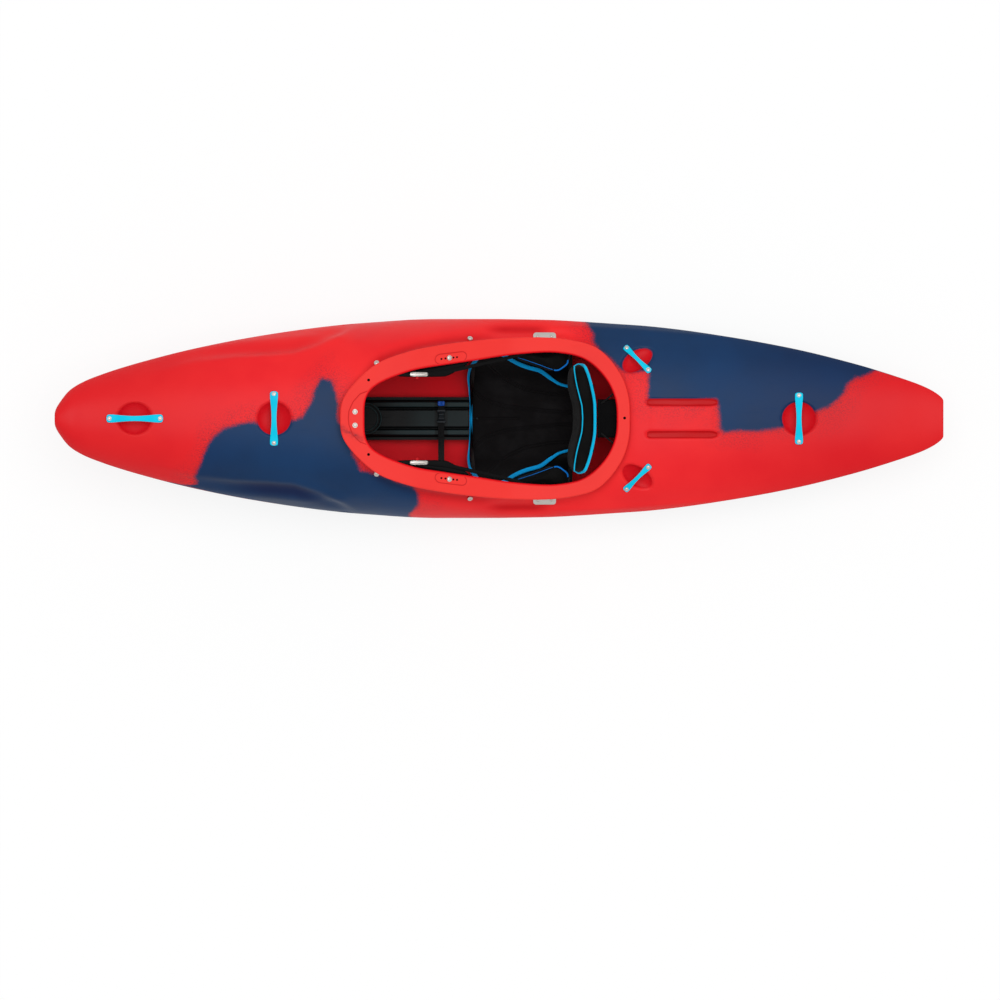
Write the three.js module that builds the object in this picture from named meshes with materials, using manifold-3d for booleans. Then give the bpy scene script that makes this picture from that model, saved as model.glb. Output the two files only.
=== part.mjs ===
import * as THREE from 'three';
import { mergeVertices } from 'three/addons/utils/BufferGeometryUtils.js';
import Module from 'manifold-3d';

const wasm = await Module();
wasm.setup();

// Whitewater kayak in millimetres: +Z up, bow towards -X, stern towards +X, starboard towards +Y.

// Driving sizes
const hullLength = 2738;
const halfBeam = 306.5;
const mouldHeight = 400;
const shellWall = 6;
const fitGap = 0.3;
const weldDistance = 1e-4;

// Shell stations as shares: at of the length, half of the half beam, heights of the mould height.
const shellShares = [
  { at: 0, half: 0.03, keel: 0.93, seam: 0.943, top: 0.957, full: 0, flat: 0.05 },
  { at: 0.0062, half: 0.166, keel: 0.874, seam: 0.913, top: 0.982, full: 0, flat: 0.08 },
  { at: 0.0174, half: 0.286, keel: 0.797, seam: 0.875, top: 0.99, full: 0, flat: 0.1 },
  { at: 0.0343, half: 0.377, keel: 0.705, seam: 0.828, top: 0.974, full: 0, flat: 0.12 },
  { at: 0.0512, half: 0.437, keel: 0.62, seam: 0.789, top: 0.966, full: 0, flat: 0.15 },
  { at: 0.1018, half: 0.578, keel: 0.42, seam: 0.682, top: 0.936, full: 0, flat: 0.2 },
  { at: 0.1524, half: 0.693, keel: 0.281, seam: 0.62, top: 0.92, full: 0.1, flat: 0.25 },
  { at: 0.2199, half: 0.814, keel: 0.15, seam: 0.539, top: 0.932, full: 0.25, flat: 0.32 },
  { at: 0.2874, half: 0.905, keel: 0.073, seam: 0.489, top: 0.951, full: 0.6, flat: 0.38 },
  { at: 0.3268, half: 0.945, keel: 0.042, seam: 0.463, top: 0.953, full: 0.9, flat: 0.4 },
  { at: 0.3661, half: 0.972, keel: 0.0215, seam: 0.435, top: 0.975, full: 1, flat: 0.42 },
  { at: 0.401, half: 0.993, keel: 0, seam: 0.414, top: 0.96, full: 1, flat: 0.44 },
  { at: 0.4314, half: 1, keel: 0, seam: 0.408, top: 0.909, full: 1, flat: 0.44 },
  { at: 0.4708, half: 1, keel: 0, seam: 0.403, top: 0.808, full: 1, flat: 0.44 },
  { at: 0.4989, half: 1, keel: 0, seam: 0.402, top: 0.72, full: 1, flat: 0.44 },
  { at: 0.5146, half: 0.998, keel: 0, seam: 0.402, top: 0.676, full: 1, flat: 0.45 },
  { at: 0.5562, half: 0.991, keel: 0.027, seam: 0.402, top: 0.63, full: 1, flat: 0.46 },
  { at: 0.5945, half: 0.973, keel: 0.051, seam: 0.397, top: 0.628, full: 0.8, flat: 0.48 },
  { at: 0.6316, half: 0.951, keel: 0.085, seam: 0.389, top: 0.64, full: 0.5, flat: 0.5 },
  { at: 0.6586, half: 0.935, keel: 0.112, seam: 0.383, top: 0.658, full: 0.3, flat: 0.52 },
  { at: 0.6924, half: 0.905, keel: 0.158, seam: 0.381, top: 0.651, full: 0.1, flat: 0.55 },
  { at: 0.7598, half: 0.819, keel: 0.2425, seam: 0.381, top: 0.597, full: 0, flat: 0.6 },
  { at: 0.8273, half: 0.709, keel: 0.327, seam: 0.39, top: 0.558, full: 0, flat: 0.65 },
  { at: 0.8948, half: 0.563, keel: 0.404, seam: 0.425, top: 0.5545, full: 0, flat: 0.7 },
  { at: 0.9454, half: 0.427, keel: 0.4735, seam: 0.491, top: 0.574, full: 0, flat: 0.74 },
  { at: 0.9792, half: 0.317, keel: 0.52, seam: 0.533, top: 0.589, full: 0, flat: 0.76 },
  { at: 0.9961, half: 0.226, keel: 0.543, seam: 0.555, top: 0.589, full: 0, flat: 0.78 },
  { at: 1, half: 0.171, keel: 0.56, seam: 0.569, top: 0.578, full: 0, flat: 0.78 },
];
const domeAcross = { slim: 2.2, full: 3 };
const domeCrown = { slim: 0.79, full: 0.6 };

// Deck cockpit and rim as shares of the cockpit's length and half width
const cockpitLength = 893;
const cockpitHalfWidth = 250;
const cockpitCentre = -43.1;
const rimShares = [
  { outerAlong: 0, outerHalf: 0, innerAlong: 0.084, innerHalf: 0 },
  { outerAlong: 0.034, outerHalf: 0.302, innerAlong: 0.0915, innerHalf: 0.264 },
  { outerAlong: 0.117, outerHalf: 0.652, innerAlong: 0.1365, innerHalf: 0.432 },
  { outerAlong: 0.2315, outerHalf: 0.82, innerAlong: 0.246, innerHalf: 0.586 },
  { outerAlong: 0.3485, outerHalf: 0.906, innerAlong: 0.3555, innerHalf: 0.656 },
  { outerAlong: 0.4655, outerHalf: 0.96, innerAlong: 0.4655, innerHalf: 0.714 },
  { outerAlong: 0.5795, outerHalf: 0.992, innerAlong: 0.5795, innerHalf: 0.777 },
  { outerAlong: 0.696, outerHalf: 1, innerAlong: 0.694, innerHalf: 0.812 },
  { outerAlong: 0.783, outerHalf: 0.974, innerAlong: 0.7665, innerHalf: 0.802 },
  { outerAlong: 0.8725, outerHalf: 0.893, innerAlong: 0.8305, innerHalf: 0.748 },
  { outerAlong: 0.9295, outerHalf: 0.733, innerAlong: 0.881, innerHalf: 0.628 },
  { outerAlong: 0.976, outerHalf: 0.487, innerAlong: 0.9235, innerHalf: 0.448 },
  { outerAlong: 0.9965, outerHalf: 0.24, innerAlong: 0.949, innerHalf: 0.232 },
  { outerAlong: 1, outerHalf: 0, innerAlong: 0.9545, innerHalf: 0 },
];
const rimHeightShares = [
  { along: 0, top: 1.04 },
  { along: 0.138, top: 1.02 },
  { along: 0.228, top: 0.985 },
  { along: 0.338, top: 0.9125 },
  { along: 0.459, top: 0.8175 },
  { along: 0.545, top: 0.7525 },
  { along: 0.603, top: 0.715 },
  { along: 0.69, top: 0.6925 },
  { along: 0.779, top: 0.6875 },
  { along: 0.897, top: 0.695 },
  { along: 1, top: 0.7025 },
];
const rimPlate = 11;
const rimBevel = 3;
const neckShare = 0.45;
const neckWall = 7;
const neckSink = 4;
const rimSegments = 72;

// Counts of the shell's facets
const endAtShares = [0, 0.0012, 0.004, 0.009, 0.0155, 0.024, 0.035];
const middleStations = 28;
const deckColumns = 11;
const bottomColumns = 7;
const innerColumns = { deck: 7, bottom: 5 };

function smoothThrough(xs, ys, x) {
  const last = xs.length - 1;
  if (x <= xs[0]) return ys[0];
  if (x >= xs[last]) return ys[last];
  let i = 0;
  while (x > xs[i + 1]) i += 1;
  const step = k => xs[k + 1] - xs[k];
  const rise = k => (ys[k + 1] - ys[k]) / step(k);
  const slope = k => {
    if (k === 0) return rise(0);
    if (k === last) return rise(last - 1);
    if (rise(k - 1) * rise(k) <= 0) return 0;
    const before = 2 * step(k) + step(k - 1);
    const after = step(k) + 2 * step(k - 1);
    return (before + after) / (before / rise(k - 1) + after / rise(k));
  };
  const h = step(i);
  const t = (x - xs[i]) / h;
  const t2 = t * t;
  const t3 = t2 * t;
  const startPart = (2 * t3 - 3 * t2 + 1) * ys[i] + (t3 - 2 * t2 + t) * h * slope(i);
  const endPart = (3 * t2 - 2 * t3) * ys[i + 1] + (t3 - t2) * h * slope(i + 1);
  return startPart + endPart;
}

const turn = at => Math.acos(1 - 2 * Math.min(Math.max(at, 0), 1)) / Math.PI;
const shellTurns = shellShares.map(row => turn(row.at));
const shellRows = {};
for (const key of ['half', 'keel', 'seam', 'top', 'full', 'flat']) {
  shellRows[key] = shellShares.map(row => row[key]);
}

function shellAt(x) {
  const t = turn(x / hullLength + 0.5);
  const share = key => smoothThrough(shellTurns, shellRows[key], t);
  const full = share('full');
  return {
    x,
    half: halfBeam * share('half'),
    keel: mouldHeight * share('keel'),
    seam: mouldHeight * share('seam'),
    top: mouldHeight * share('top'),
    flat: share('flat'),
    across: domeAcross.slim + (domeAcross.full - domeAcross.slim) * full,
    crown: domeCrown.slim + (domeCrown.full - domeCrown.slim) * full,
  };
}

function deckHeight(x, y) {
  const s = shellAt(x);
  const u = Math.min(Math.abs(y) / s.half, 1);
  return s.seam + (s.top - s.seam) * Math.pow(1 - Math.pow(u, s.across), s.crown);
}

function sideOffset(x, z) {
  const s = shellAt(x);
  const cos = Math.min(Math.max((s.seam - z) / (s.seam - s.keel), 0), 1);
  return s.half * (s.flat + (1 - s.flat) * Math.sqrt(1 - cos * cos));
}

function slopeNormal(heightAt, x, y) {
  const probe = shellWall;
  const dx = (heightAt(x + probe, y) - heightAt(x - probe, y)) / (probe + probe);
  const dy = (heightAt(x, y + probe) - heightAt(x, y - probe)) / (probe + probe);
  return new THREE.Vector3(-dx, -dy, 1).normalize();
}

// Cross sections: lists of [y, z]
function bottomSection(s, inset) {
  const columns = inset > 0 ? innerColumns.bottom : bottomColumns;
  const half = s.half - inset;
  const keel = s.keel + inset;
  const flat = s.flat * half;
  const points = [];
  for (let k = columns; k >= 0; k -= 1) {
    const angle = (k / columns) * Math.PI / 2;
    const y = flat + (half - flat) * Math.sin(angle);
    points.push([-y, s.seam - (s.seam - keel) * Math.cos(angle)]);
  }
  const mirrored = points.map(([y, z]) => [-y, z]).reverse();
  return points.concat(mirrored);
}

function deckSection(s, inset) {
  const columns = inset > 0 ? innerColumns.deck : deckColumns;
  const half = s.half - inset;
  const rise = s.top - inset - s.seam;
  const points = [];
  for (let k = columns; k > -columns - 1; k -= 1) {
    const angle = (k / columns) * Math.PI / 2;
    const sin = Math.abs(Math.sin(angle));
    const cos = Math.max(Math.cos(angle), 0);
    const y = Math.sign(k) * half * Math.pow(sin, 2 / s.across);
    points.push([y, s.seam + rise * Math.pow(cos, 2 * s.crown)]);
  }
  return points;
}

// Solids from loops of points
function signedVolume(positions, indices) {
  let total = 0;
  const a = new THREE.Vector3();
  const b = new THREE.Vector3();
  const c = new THREE.Vector3();
  for (let k = 0; k < indices.length; k += 3) {
    a.fromArray(positions, indices[k] * 3);
    b.fromArray(positions, indices[k + 1] * 3);
    c.fromArray(positions, indices[k + 2] * 3);
    total += a.dot(b.cross(c));
  }
  return total;
}

function toSolid(positions, indices) {
  const ordered = indices.slice();
  if (signedVolume(positions, indices) < 0) ordered.reverse();
  const geometry = new THREE.BufferGeometry();
  geometry.setAttribute('position', new THREE.Float32BufferAttribute(positions, 3));
  geometry.setIndex(ordered);
  const welded = mergeVertices(geometry, weldDistance);
  const corners = welded.index.array;
  const kept = [];
  for (let k = 0; k < corners.length; k += 3) {
    const [i, j, m] = [corners[k], corners[k + 1], corners[k + 2]];
    if (i !== j && j !== m && m !== i) kept.push(i, j, m);
  }
  return new wasm.Manifold(new wasm.Mesh({
    numProp: 3,
    vertProperties: new Float32Array(welded.attributes.position.array),
    triVerts: new Uint32Array(kept),
  }));
}

function solidOf(geometry) {
  const source = geometry.index ? geometry : mergeVertices(geometry, weldDistance);
  return toSolid(Array.from(source.attributes.position.array), Array.from(source.index.array));
}

function capTriangles(loop) {
  const [a, b] = [loop[0], loop[1]];
  const normal = new THREE.Vector3();
  const centre = new THREE.Vector3();
  loop.forEach(point => centre.add(point));
  centre.divideScalar(loop.length);
  for (let k = 0; k < loop.length; k += 1) {
    const p = loop[k].clone().sub(centre);
    normal.add(p.cross(loop[(k + 1) % loop.length].clone().sub(centre)));
  }
  normal.normalize();
  const across = b.clone().sub(a).normalize();
  across.addScaledVector(normal, -across.dot(normal)).normalize();
  const up = normal.clone().cross(across);
  const flat = loop.map(point => new THREE.Vector2(point.dot(across), point.dot(up)));
  let faces = THREE.ShapeUtils.triangulateShape(flat, []);
  if (faces.length !== loop.length - 2) faces = loop.slice(2).map((point, k) => [0, k + 1, k + 2]);
  const area = faces.reduce((sum, [i, j, k]) => {
    const [p, q, r] = [flat[i], flat[j], flat[k]];
    return sum + (q.x - p.x) * (r.y - p.y) - (q.y - p.y) * (r.x - p.x);
  }, 0);
  return faces.map(face => (area < 0 ? face.slice().reverse() : face));
}

function loftSolid(loops) {
  const count = loops[0].length;
  const positions = [];
  const indices = [];
  loops.forEach(loop => loop.forEach(point => positions.push(point.x, point.y, point.z)));
  for (let row = 0; row < loops.length - 1; row += 1) {
    for (let k = 0; k < count; k += 1) {
      const a = row * count + k;
      const b = row * count + (k + 1) % count;
      indices.push(a, b, a + count, b, b + count, a + count);
    }
  }
  const lastStart = (loops.length - 1) * count;
  capTriangles(loops[0]).forEach(([i, j, k]) => indices.push(k, j, i));
  capTriangles(loops[loops.length - 1]).forEach(([i, j, k]) => {
    indices.push(lastStart + i, lastStart + j, lastStart + k);
  });
  return toSolid(positions, indices);
}

function ringSolid(loops) {
  const count = loops[0].length;
  const positions = [];
  const indices = [];
  loops.forEach(loop => loop.forEach(point => positions.push(point.x, point.y, point.z)));
  for (let row = 0; row < loops.length; row += 1) {
    const next = (row + 1) % loops.length;
    for (let k = 0; k < count; k += 1) {
      const a = row * count + k;
      const b = row * count + (k + 1) % count;
      const c = next * count + k;
      const d = next * count + (k + 1) % count;
      indices.push(a, b, c, b, d, c);
    }
  }
  return toSolid(positions, indices);
}

const at = (x, y, z) => new THREE.Vector3(x, y, z);

function turnedSolid(profile, segments, base, axis) {
  const geometry = new THREE.LatheGeometry(profile.map(([r, h]) => new THREE.Vector2(r, h)), segments);
  geometry.applyQuaternion(new THREE.Quaternion().setFromUnitVectors(at(0, 1, 0), axis));
  geometry.translate(base.x, base.y, base.z);
  return solidOf(geometry);
}

function plugSolid(radius, length, base, axis, segments) {
  const half = length / 2;
  return turnedSolid([[0, -half], [radius, -half], [radius, half], [0, half]], segments, base, axis);
}

function boxSolid(low, high) {
  const geometry = new THREE.BoxGeometry(high.x - low.x, high.y - low.y, high.z - low.z);
  geometry.translate((low.x + high.x) / 2, (low.y + high.y) / 2, (low.z + high.z) / 2);
  return solidOf(geometry);
}

function tubeSolid(points, radius, steps, sides) {
  const path = new THREE.CatmullRomCurve3(points);
  const outline = new THREE.Shape();
  for (let k = 0; k < sides; k += 1) {
    const angle = (k / sides) * Math.PI * 2;
    const corner = [radius * Math.cos(angle), radius * Math.sin(angle)];
    if (k === 0) outline.moveTo(...corner);
    else outline.lineTo(...corner);
  }
  return solidOf(new THREE.ExtrudeGeometry(outline, { steps, extrudePath: path, bevelEnabled: false }));
}

const group = new THREE.Group();
const paints = {
  shell: { color: 0xdd2c33, roughness: 0.42, metalness: 0 },
  rim: { color: 0xf0423d, roughness: 0.42, metalness: 0 },
  handle: { color: 0x12cdea, roughness: 0.45, metalness: 0 },
  steel: { color: 0xc9c8c4, roughness: 0.25, metalness: 1 },
  black: { color: 0x17191b, roughness: 0.6, metalness: 0 },
  foam: { color: 0x131313, roughness: 0.95, metalness: 0 },
  cloth: { color: 0x121212, roughness: 0.9, metalness: 0 },
  rope: { color: 0x101010, roughness: 0.85, metalness: 0 },
  anchor: { color: 0x1f5fae, roughness: 0.5, metalness: 0 },
};

function addNode(name, solid, paint) {
  const mesh = solid.getMesh();
  const geometry = new THREE.BufferGeometry();
  geometry.setAttribute('position', new THREE.Float32BufferAttribute(Array.from(mesh.vertProperties), 3));
  geometry.setIndex(Array.from(mesh.triVerts));
  geometry.computeVertexNormals();
  const node = new THREE.Mesh(geometry, new THREE.MeshStandardMaterial({ ...paints[paint] }));
  node.name = name;
  group.add(node);
}

const sides = [{ word: 'left', sign: -1 }, { word: 'right', sign: 1 }];

// Shell solids
const endGap = 1 - endAtShares[endAtShares.length - 1];
const middleStart = endAtShares[endAtShares.length - 1];
const stationShares = endAtShares.slice(0, -1);
for (let k = 0; k <= middleStations; k += 1) {
  stationShares.push(middleStart + (endGap - middleStart) * k / middleStations);
}
endAtShares.slice(0, -1).reverse().forEach(share => stationShares.push(1 - share));
const stations = stationShares.map(share => hullLength * (share - 0.5));

function sectionLoop(x, section) {
  return section.map(([y, z]) => at(x, y, z));
}

const halfGap = fitGap / 2;
const hullOuter = loftSolid(stations.map(x => {
  const s = shellAt(x);
  return sectionLoop(x, bottomSection(s, 0).map(([y, z]) => [y, Math.min(z, s.seam - halfGap)]));
}));
const deckOuter = loftSolid(stations.map(x => {
  const s = shellAt(x);
  return sectionLoop(x, deckSection(s, 0).map(([y, z]) => [y, Math.max(z, s.seam + halfGap)]));
}));

const hollowShares = { bow: 0.012, stern: 0.972 };
function hollowStations(inset) {
  const extra = (inset - shellWall) / hullLength;
  const low = hollowShares.bow + extra;
  const high = hollowShares.stern - extra;
  const inner = stationShares.filter((share, k) => k % 2 === 0 && share > low && share < high);
  return [low, ...inner, high].map(share => hullLength * (share - 0.5));
}

const hullHollow = loftSolid(hollowStations(shellWall).map(x => {
  const s = shellAt(x);
  const section = bottomSection(s, shellWall);
  const half = s.half - shellWall;
  section.unshift([-half, s.seam + shellWall]);
  section.push([half, s.seam + shellWall]);
  return sectionLoop(x, section);
}));
const deckHollow = loftSolid(hollowStations(shellWall).map(x => {
  const s = shellAt(x);
  const section = deckSection(s, shellWall);
  const half = s.half - shellWall;
  section.unshift([half, s.seam - shellWall]);
  section.push([-half, s.seam - shellWall]);
  return sectionLoop(x, section);
}));

const cavityInset = shellWall + fitGap;
const cavity = loftSolid(hollowStations(cavityInset).map(x => {
  const s = shellAt(x);
  const section = bottomSection(s, cavityInset).slice(1, -1);
  return sectionLoop(x, section.concat(deckSection(s, cavityInset)));
}));

// Height that clears both the true deck and its facets
function deckSkin(x, y) {
  const next = Math.min(Math.max(stations.findIndex(station => station > x), 1), stations.length - 1);
  const [fore, aft] = [stations[next - 1], stations[next]];
  const share = (x - fore) / (aft - fore);
  const facet = deckHeight(fore, y) * (1 - share) + deckHeight(aft, y) * share;
  return Math.max(deckHeight(x, y), facet);
}

// Finger dishes and grooves, pressed into the deck
const dishDepth = 22;
const dishRadius = 54;
const grooveLength = 212;
const grooveWidth = 20;
const grooveDepth = 10;
const grooveCentre = at(hullLength * 0.206, halfBeam * 0.163, 0);
const rearDish = { along: 57, across: 34, depth: 20, turnShare: 0.21 };
const rearHandleCentre = at(hullLength * 0.1557, halfBeam * 0.597, 0);
const handlePlaces = {
  bow: hullLength * -0.40979,
  front: hullLength * -0.2531,
  stern: hullLength * 0.33747,
};

function dishSolid(dish, grow) {
  const geometry = new THREE.SphereGeometry(1, dish.around, dish.around / 2);
  geometry.scale(dish.along + grow, dish.across + grow, dish.depth + grow);
  geometry.rotateZ(dish.turn);
  const normal = slopeNormal(deckHeight, dish.x, dish.y);
  geometry.applyQuaternion(new THREE.Quaternion().setFromUnitVectors(at(0, 0, 1), normal));
  geometry.translate(dish.x, dish.y, deckHeight(dish.x, dish.y));
  return solidOf(geometry);
}

const dishFacets = 16;
const grooveFacets = 10;
const roundDish = { along: dishRadius, across: dishRadius, depth: dishDepth, turn: 0, y: 0, around: dishFacets };
const dishes = [handlePlaces.bow, handlePlaces.front, handlePlaces.stern].map(x => ({ ...roundDish, x }));
sides.forEach(({ sign }) => {
  dishes.push({
    ...rearDish,
    around: dishFacets,
    turn: sign * rearDish.turnShare * Math.PI,
    x: rearHandleCentre.x,
    y: sign * rearHandleCentre.y,
  });
  dishes.push({
    along: grooveLength / 2,
    across: grooveWidth / 2,
    depth: grooveDepth,
    around: grooveFacets,
    turn: 0,
    x: grooveCentre.x,
    y: sign * grooveCentre.y,
  });
});

const rimLoop = [];
for (let k = 0; k < rimSegments; k += 1) {
  const share = k / rimSegments;
  const sign = share < 0.5 ? 1 : -1;
  const along = share < 0.5 ? share * 2 : 2 - share * 2;
  rimLoop.push({ sign, row: along * (rimShares.length - 1) });
}
const rimRows = rimShares.map((row, k) => k);
const column = key => rimShares.map(row => row[key]);
const cockpitFront = cockpitCentre - cockpitLength / 2;
function rimCurve(key, row) {
  const mirrored = key.endsWith('Half') ? -1 : 1;
  const values = column(key);
  const extendedRows = [-1, ...rimRows, rimRows.length];
  const last = values.length - 1;
  const extended = [mirrored * values[1], ...values, mirrored * values[last - 1]];
  return catmull(extendedRows, extended, row);
}

function catmull(rows, values, row) {
  const shifted = row + 1;
  const i = Math.min(Math.floor(shifted), values.length - 3);
  const t = shifted - i;
  const [a, b, c] = [values[i - 1] ?? values[i], values[i], values[i + 1]];
  const d = values[i + 2] ?? c;
  const ahead = (c - a) * t + (2 * a - 5 * b + 4 * c - d) * t * t;
  return (2 * b + ahead + (3 * b - a - 3 * c + d) * t * t * t) / 2;
}

const rimHeightRows = rimHeightShares.map(row => row.along);
const rimHeightTops = rimHeightShares.map(row => row.top);
function rimTop(x) {
  const along = (x - cockpitFront) / cockpitLength;
  return mouldHeight * smoothThrough(rimHeightRows, rimHeightTops, along);
}

function rimPoint({ sign, row }) {
  const place = key => cockpitFront + cockpitLength * rimCurve(key, row);
  const half = key => sign * cockpitHalfWidth * rimCurve(key, row);
  const outer = at(place('outerAlong'), half('outerHalf'), 0);
  const inner = at(place('innerAlong'), half('innerHalf'), 0);
  const width = outer.distanceTo(inner);
  const inward = inner.clone().sub(outer).divideScalar(width);
  return { outer, inner, width, inward };
}

function rimSection(place, grow) {
  const { outer, inner, width, inward } = rimPoint(place);
  const from = distance => outer.clone().addScaledVector(inward, distance);
  const neckOut = width * neckShare - grow;
  const neckIn = width * neckShare + neckWall + grow;
  const top = point => rimTop(point.x);
  const raised = (point, z) => at(point.x, point.y, z);
  const out = from(-grow);
  const bevelOut = from(rimBevel);
  const bevelIn = from(width - rimBevel);
  const neckOuter = from(neckOut);
  const neckInner = from(neckIn);
  const sink = point => deckHeight(point.x, point.y) - neckSink - grow;
  const inEdge = inner.clone().addScaledVector(inward, grow);
  return [
    raised(out, top(outer) - rimBevel),
    raised(bevelOut, top(outer) + grow),
    raised(bevelIn, top(inner) + grow),
    raised(inEdge, top(inner) - rimBevel),
    raised(inEdge, top(inner) - rimPlate - grow),
    raised(neckInner, top(neckInner) - rimPlate - grow),
    raised(neckInner, sink(neckInner)),
    raised(neckOuter, sink(neckOuter)),
    raised(neckOuter, top(neckOuter) - rimPlate - grow),
    raised(out, top(outer) - rimPlate - grow),
  ];
}

function holeSolid() {
  const low = [];
  const high = [];
  rimLoop.forEach(place => {
    const { outer, inner, width } = rimPoint(place);
    const point = outer.clone().lerp(inner, neckShare - fitGap / width);
    low.push(at(point.x, point.y, 0));
    high.push(at(point.x, point.y, mouldHeight * 2));
  });
  return loftSolid([low, high]);
}

// Fixings: where each bolt sits and what it goes through
const boltHead = { radius: 8, height: 3.4, rise: 1.6 };
const boltShank = 3;
const boltClearance = 0.3;
const boltSides = 10;
const handleStrap = 4;
const boltTail = 5;
const bolts = [];
function placeBolt(name, point, axis, reach) {
  bolts.push({ name, point, axis, reach });
}

function boltSolid({ point, axis, reach }) {
  const { radius, height, rise } = boltHead;
  const profile = [[0, -reach], [boltShank, -reach], [boltShank, 0], [radius, 0], [radius, rise]];
  profile.push([radius * 0.72, height], [0, height]);
  return turnedSolid(profile, boltSides, point, axis);
}

function drillSolid({ point, axis, reach }) {
  return plugSolid(boltShank + boltClearance, reach * 2 + boltHead.height, point, axis, boltSides);
}

// Handles: straps that follow the deck at both ends and arch over their dishes
const handles = [
  { name: 'bow_handle', x: handlePlaces.bow, y: 0, long: 174, turn: 0, end: 25, waist: 16, arch: 17 },
  { name: 'front_deck_handle', x: handlePlaces.front, y: 0, long: 168, turn: 0.5, end: 25, waist: 16, arch: 15 },
  { name: 'stern_handle', x: handlePlaces.stern, y: 0, long: 160, turn: 0.5, end: 25, waist: 16, arch: 13 },
];
sides.forEach(({ word, sign }) => handles.push({
  name: `rear_handle_${word}`,
  x: rearHandleCentre.x,
  y: sign * rearHandleCentre.y,
  long: 112,
  turn: -sign * 0.25,
  end: 19,
  waist: 12,
  arch: 9,
}));
const strapStations = 20;
const boltInset = 9;
const padShare = 0.12;

function handlePoint(handle, along, across) {
  const angle = handle.turn * Math.PI;
  const x = handle.x + along * Math.cos(angle) - across * Math.sin(angle);
  const y = handle.y + along * Math.sin(angle) + across * Math.cos(angle);
  return at(x, y, deckSkin(x, y));
}

function handleSolid(handle) {
  const loops = [];
  for (let k = 0; k <= strapStations; k += 1) {
    const share = k / strapStations;
    const along = handle.long * (share - 0.5);
    const middle = Math.min(Math.max((share - padShare) / (1 - 2 * padShare), 0), 1);
    const bow = Math.sin(middle * Math.PI);
    const lift = handle.arch * bow * bow * (2 - bow);
    const half = (handle.end + (handle.waist - handle.end) * bow) / 2;
    const low = [-half, 0, half].map(across => {
      const point = handlePoint(handle, along, across);
      point.z += fitGap + lift;
      return point;
    });
    const high = low.map(point => at(point.x, point.y, point.z + handleStrap)).reverse();
    loops.push(low.concat(high));
  }
  return loftSolid(loops);
}

handles.forEach(handle => {
  [-1, 1].forEach(end => {
    const along = end * (handle.long / 2 - boltInset);
    const point = handlePoint(handle, along, 0);
    const axis = slopeNormal(deckSkin, point.x, point.y);
    point.addScaledVector(axis, handleStrap + fitGap + fitGap);
    const word = end < 0 ? 'a' : 'b';
    placeBolt(`${handle.name}_bolt_${word}`, point, axis, handleStrap + shellWall + boltTail);
  });
});

// Places beside the rim, as shares of the cockpit's length and half width
const cockpitPlace = (along, half) => at(cockpitFront + cockpitLength * along, cockpitHalfWidth * half, 0);

// Rim, deck and hull-side bolts
const slotBolt = cockpitPlace(0.3775, 0.748);
const frontBolt = cockpitPlace(0.0516, 0.0832);
const deckBolts = { front: cockpitPlace(0.1261, 0.686), middle: cockpitPlace(0.4486, 0.988) };
const platePlace = cockpitPlace(0.7056, 1.008);
const plate = { x: platePlace.x, y: platePlace.y, long: 70, wide: 26, thick: 3, boltShare: 0.3 };
const railHeight = 146;
const railBoltPlaces = { fore: hullLength * -0.1855, aft: hullLength * -0.157 };
const spacerBolt = 12;
const platforms = [];

function rimBolt(name, place, reach) {
  const axis = slopeNormal((x, y) => rimTop(x), place.x, place.y);
  const point = at(place.x, place.y, rimTop(place.x));
  point.addScaledVector(axis, fitGap);
  placeBolt(name, point, axis, reach);
}

function deckBolt(name, x, y, lift) {
  const axis = slopeNormal(deckSkin, x, y);
  const point = at(x, y, deckSkin(x, y)).addScaledVector(axis, fitGap + lift);
  placeBolt(name, point, axis, shellWall + boltTail + lift);
}

const braceDrop = rimPlate + fitGap * 3;
sides.forEach(({ word, sign }) => {
  rimBolt(`rim_front_bolt_${word}`, at(frontBolt.x, sign * frontBolt.y, 0), rimPlate + boltTail);
  rimBolt(`rim_slot_bolt_${word}`, at(slotBolt.x, sign * slotBolt.y, 0), rimPlate + boltTail);
  deckBolt(`deck_bolt_front_${word}`, deckBolts.front.x, sign * deckBolts.front.y, 0);
  deckBolt(`deck_bolt_middle_${word}`, deckBolts.middle.x, sign * deckBolts.middle.y, 0);
  [-1, 1].forEach(end => {
    const x = plate.x + end * plate.long * plate.boltShare;
    const name = `side_plate_${word}_bolt_${end < 0 ? 'a' : 'b'}`;
    deckBolt(name, x, sign * plate.y, plate.thick + fitGap);
  });
  Object.entries(railBoltPlaces).forEach(([place, x]) => {
    const y = sideOffset(x, railHeight);
    const probe = shellWall;
    const slope = (sideOffset(x, railHeight + probe) - sideOffset(x, railHeight - probe)) / (2 * probe);
    const sweep = (sideOffset(x + probe, railHeight) - sideOffset(x - probe, railHeight)) / (2 * probe);
    const axis = at(-sweep, sign, -slope).normalize();
    const point = at(x, sign * y, railHeight).addScaledVector(axis, fitGap);
    placeBolt(`foot_rail_bolt_${place}_${word}`, point, axis, shellWall + spacerBolt);
  });
});

function sidePlateSolid(sign) {
  const loops = [];
  const rows = 6;
  for (let k = 0; k <= rows; k += 1) {
    const x = plate.x + plate.long * (k / rows - 0.5);
    const low = [];
    const columns = 4;
    for (let m = 0; m <= columns; m += 1) {
      const y = sign * (plate.y + plate.wide * (m / columns - 0.5));
      const normal = slopeNormal(deckSkin, x, y);
      low.push(at(x, y, deckSkin(x, y)).addScaledVector(normal, fitGap));
    }
    const high = low.map(point => point.clone().add(at(0, 0, plate.thick))).reverse();
    loops.push(low.concat(high));
  }
  return loftSolid(loops);
}

const drills = bolts.map(drillSolid);
const drilled = (solid, test) => bolts.reduce(
  (body, bolt, k) => (test(bolt) ? body.subtract(drills[k]) : body),
  solid,
);

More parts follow.
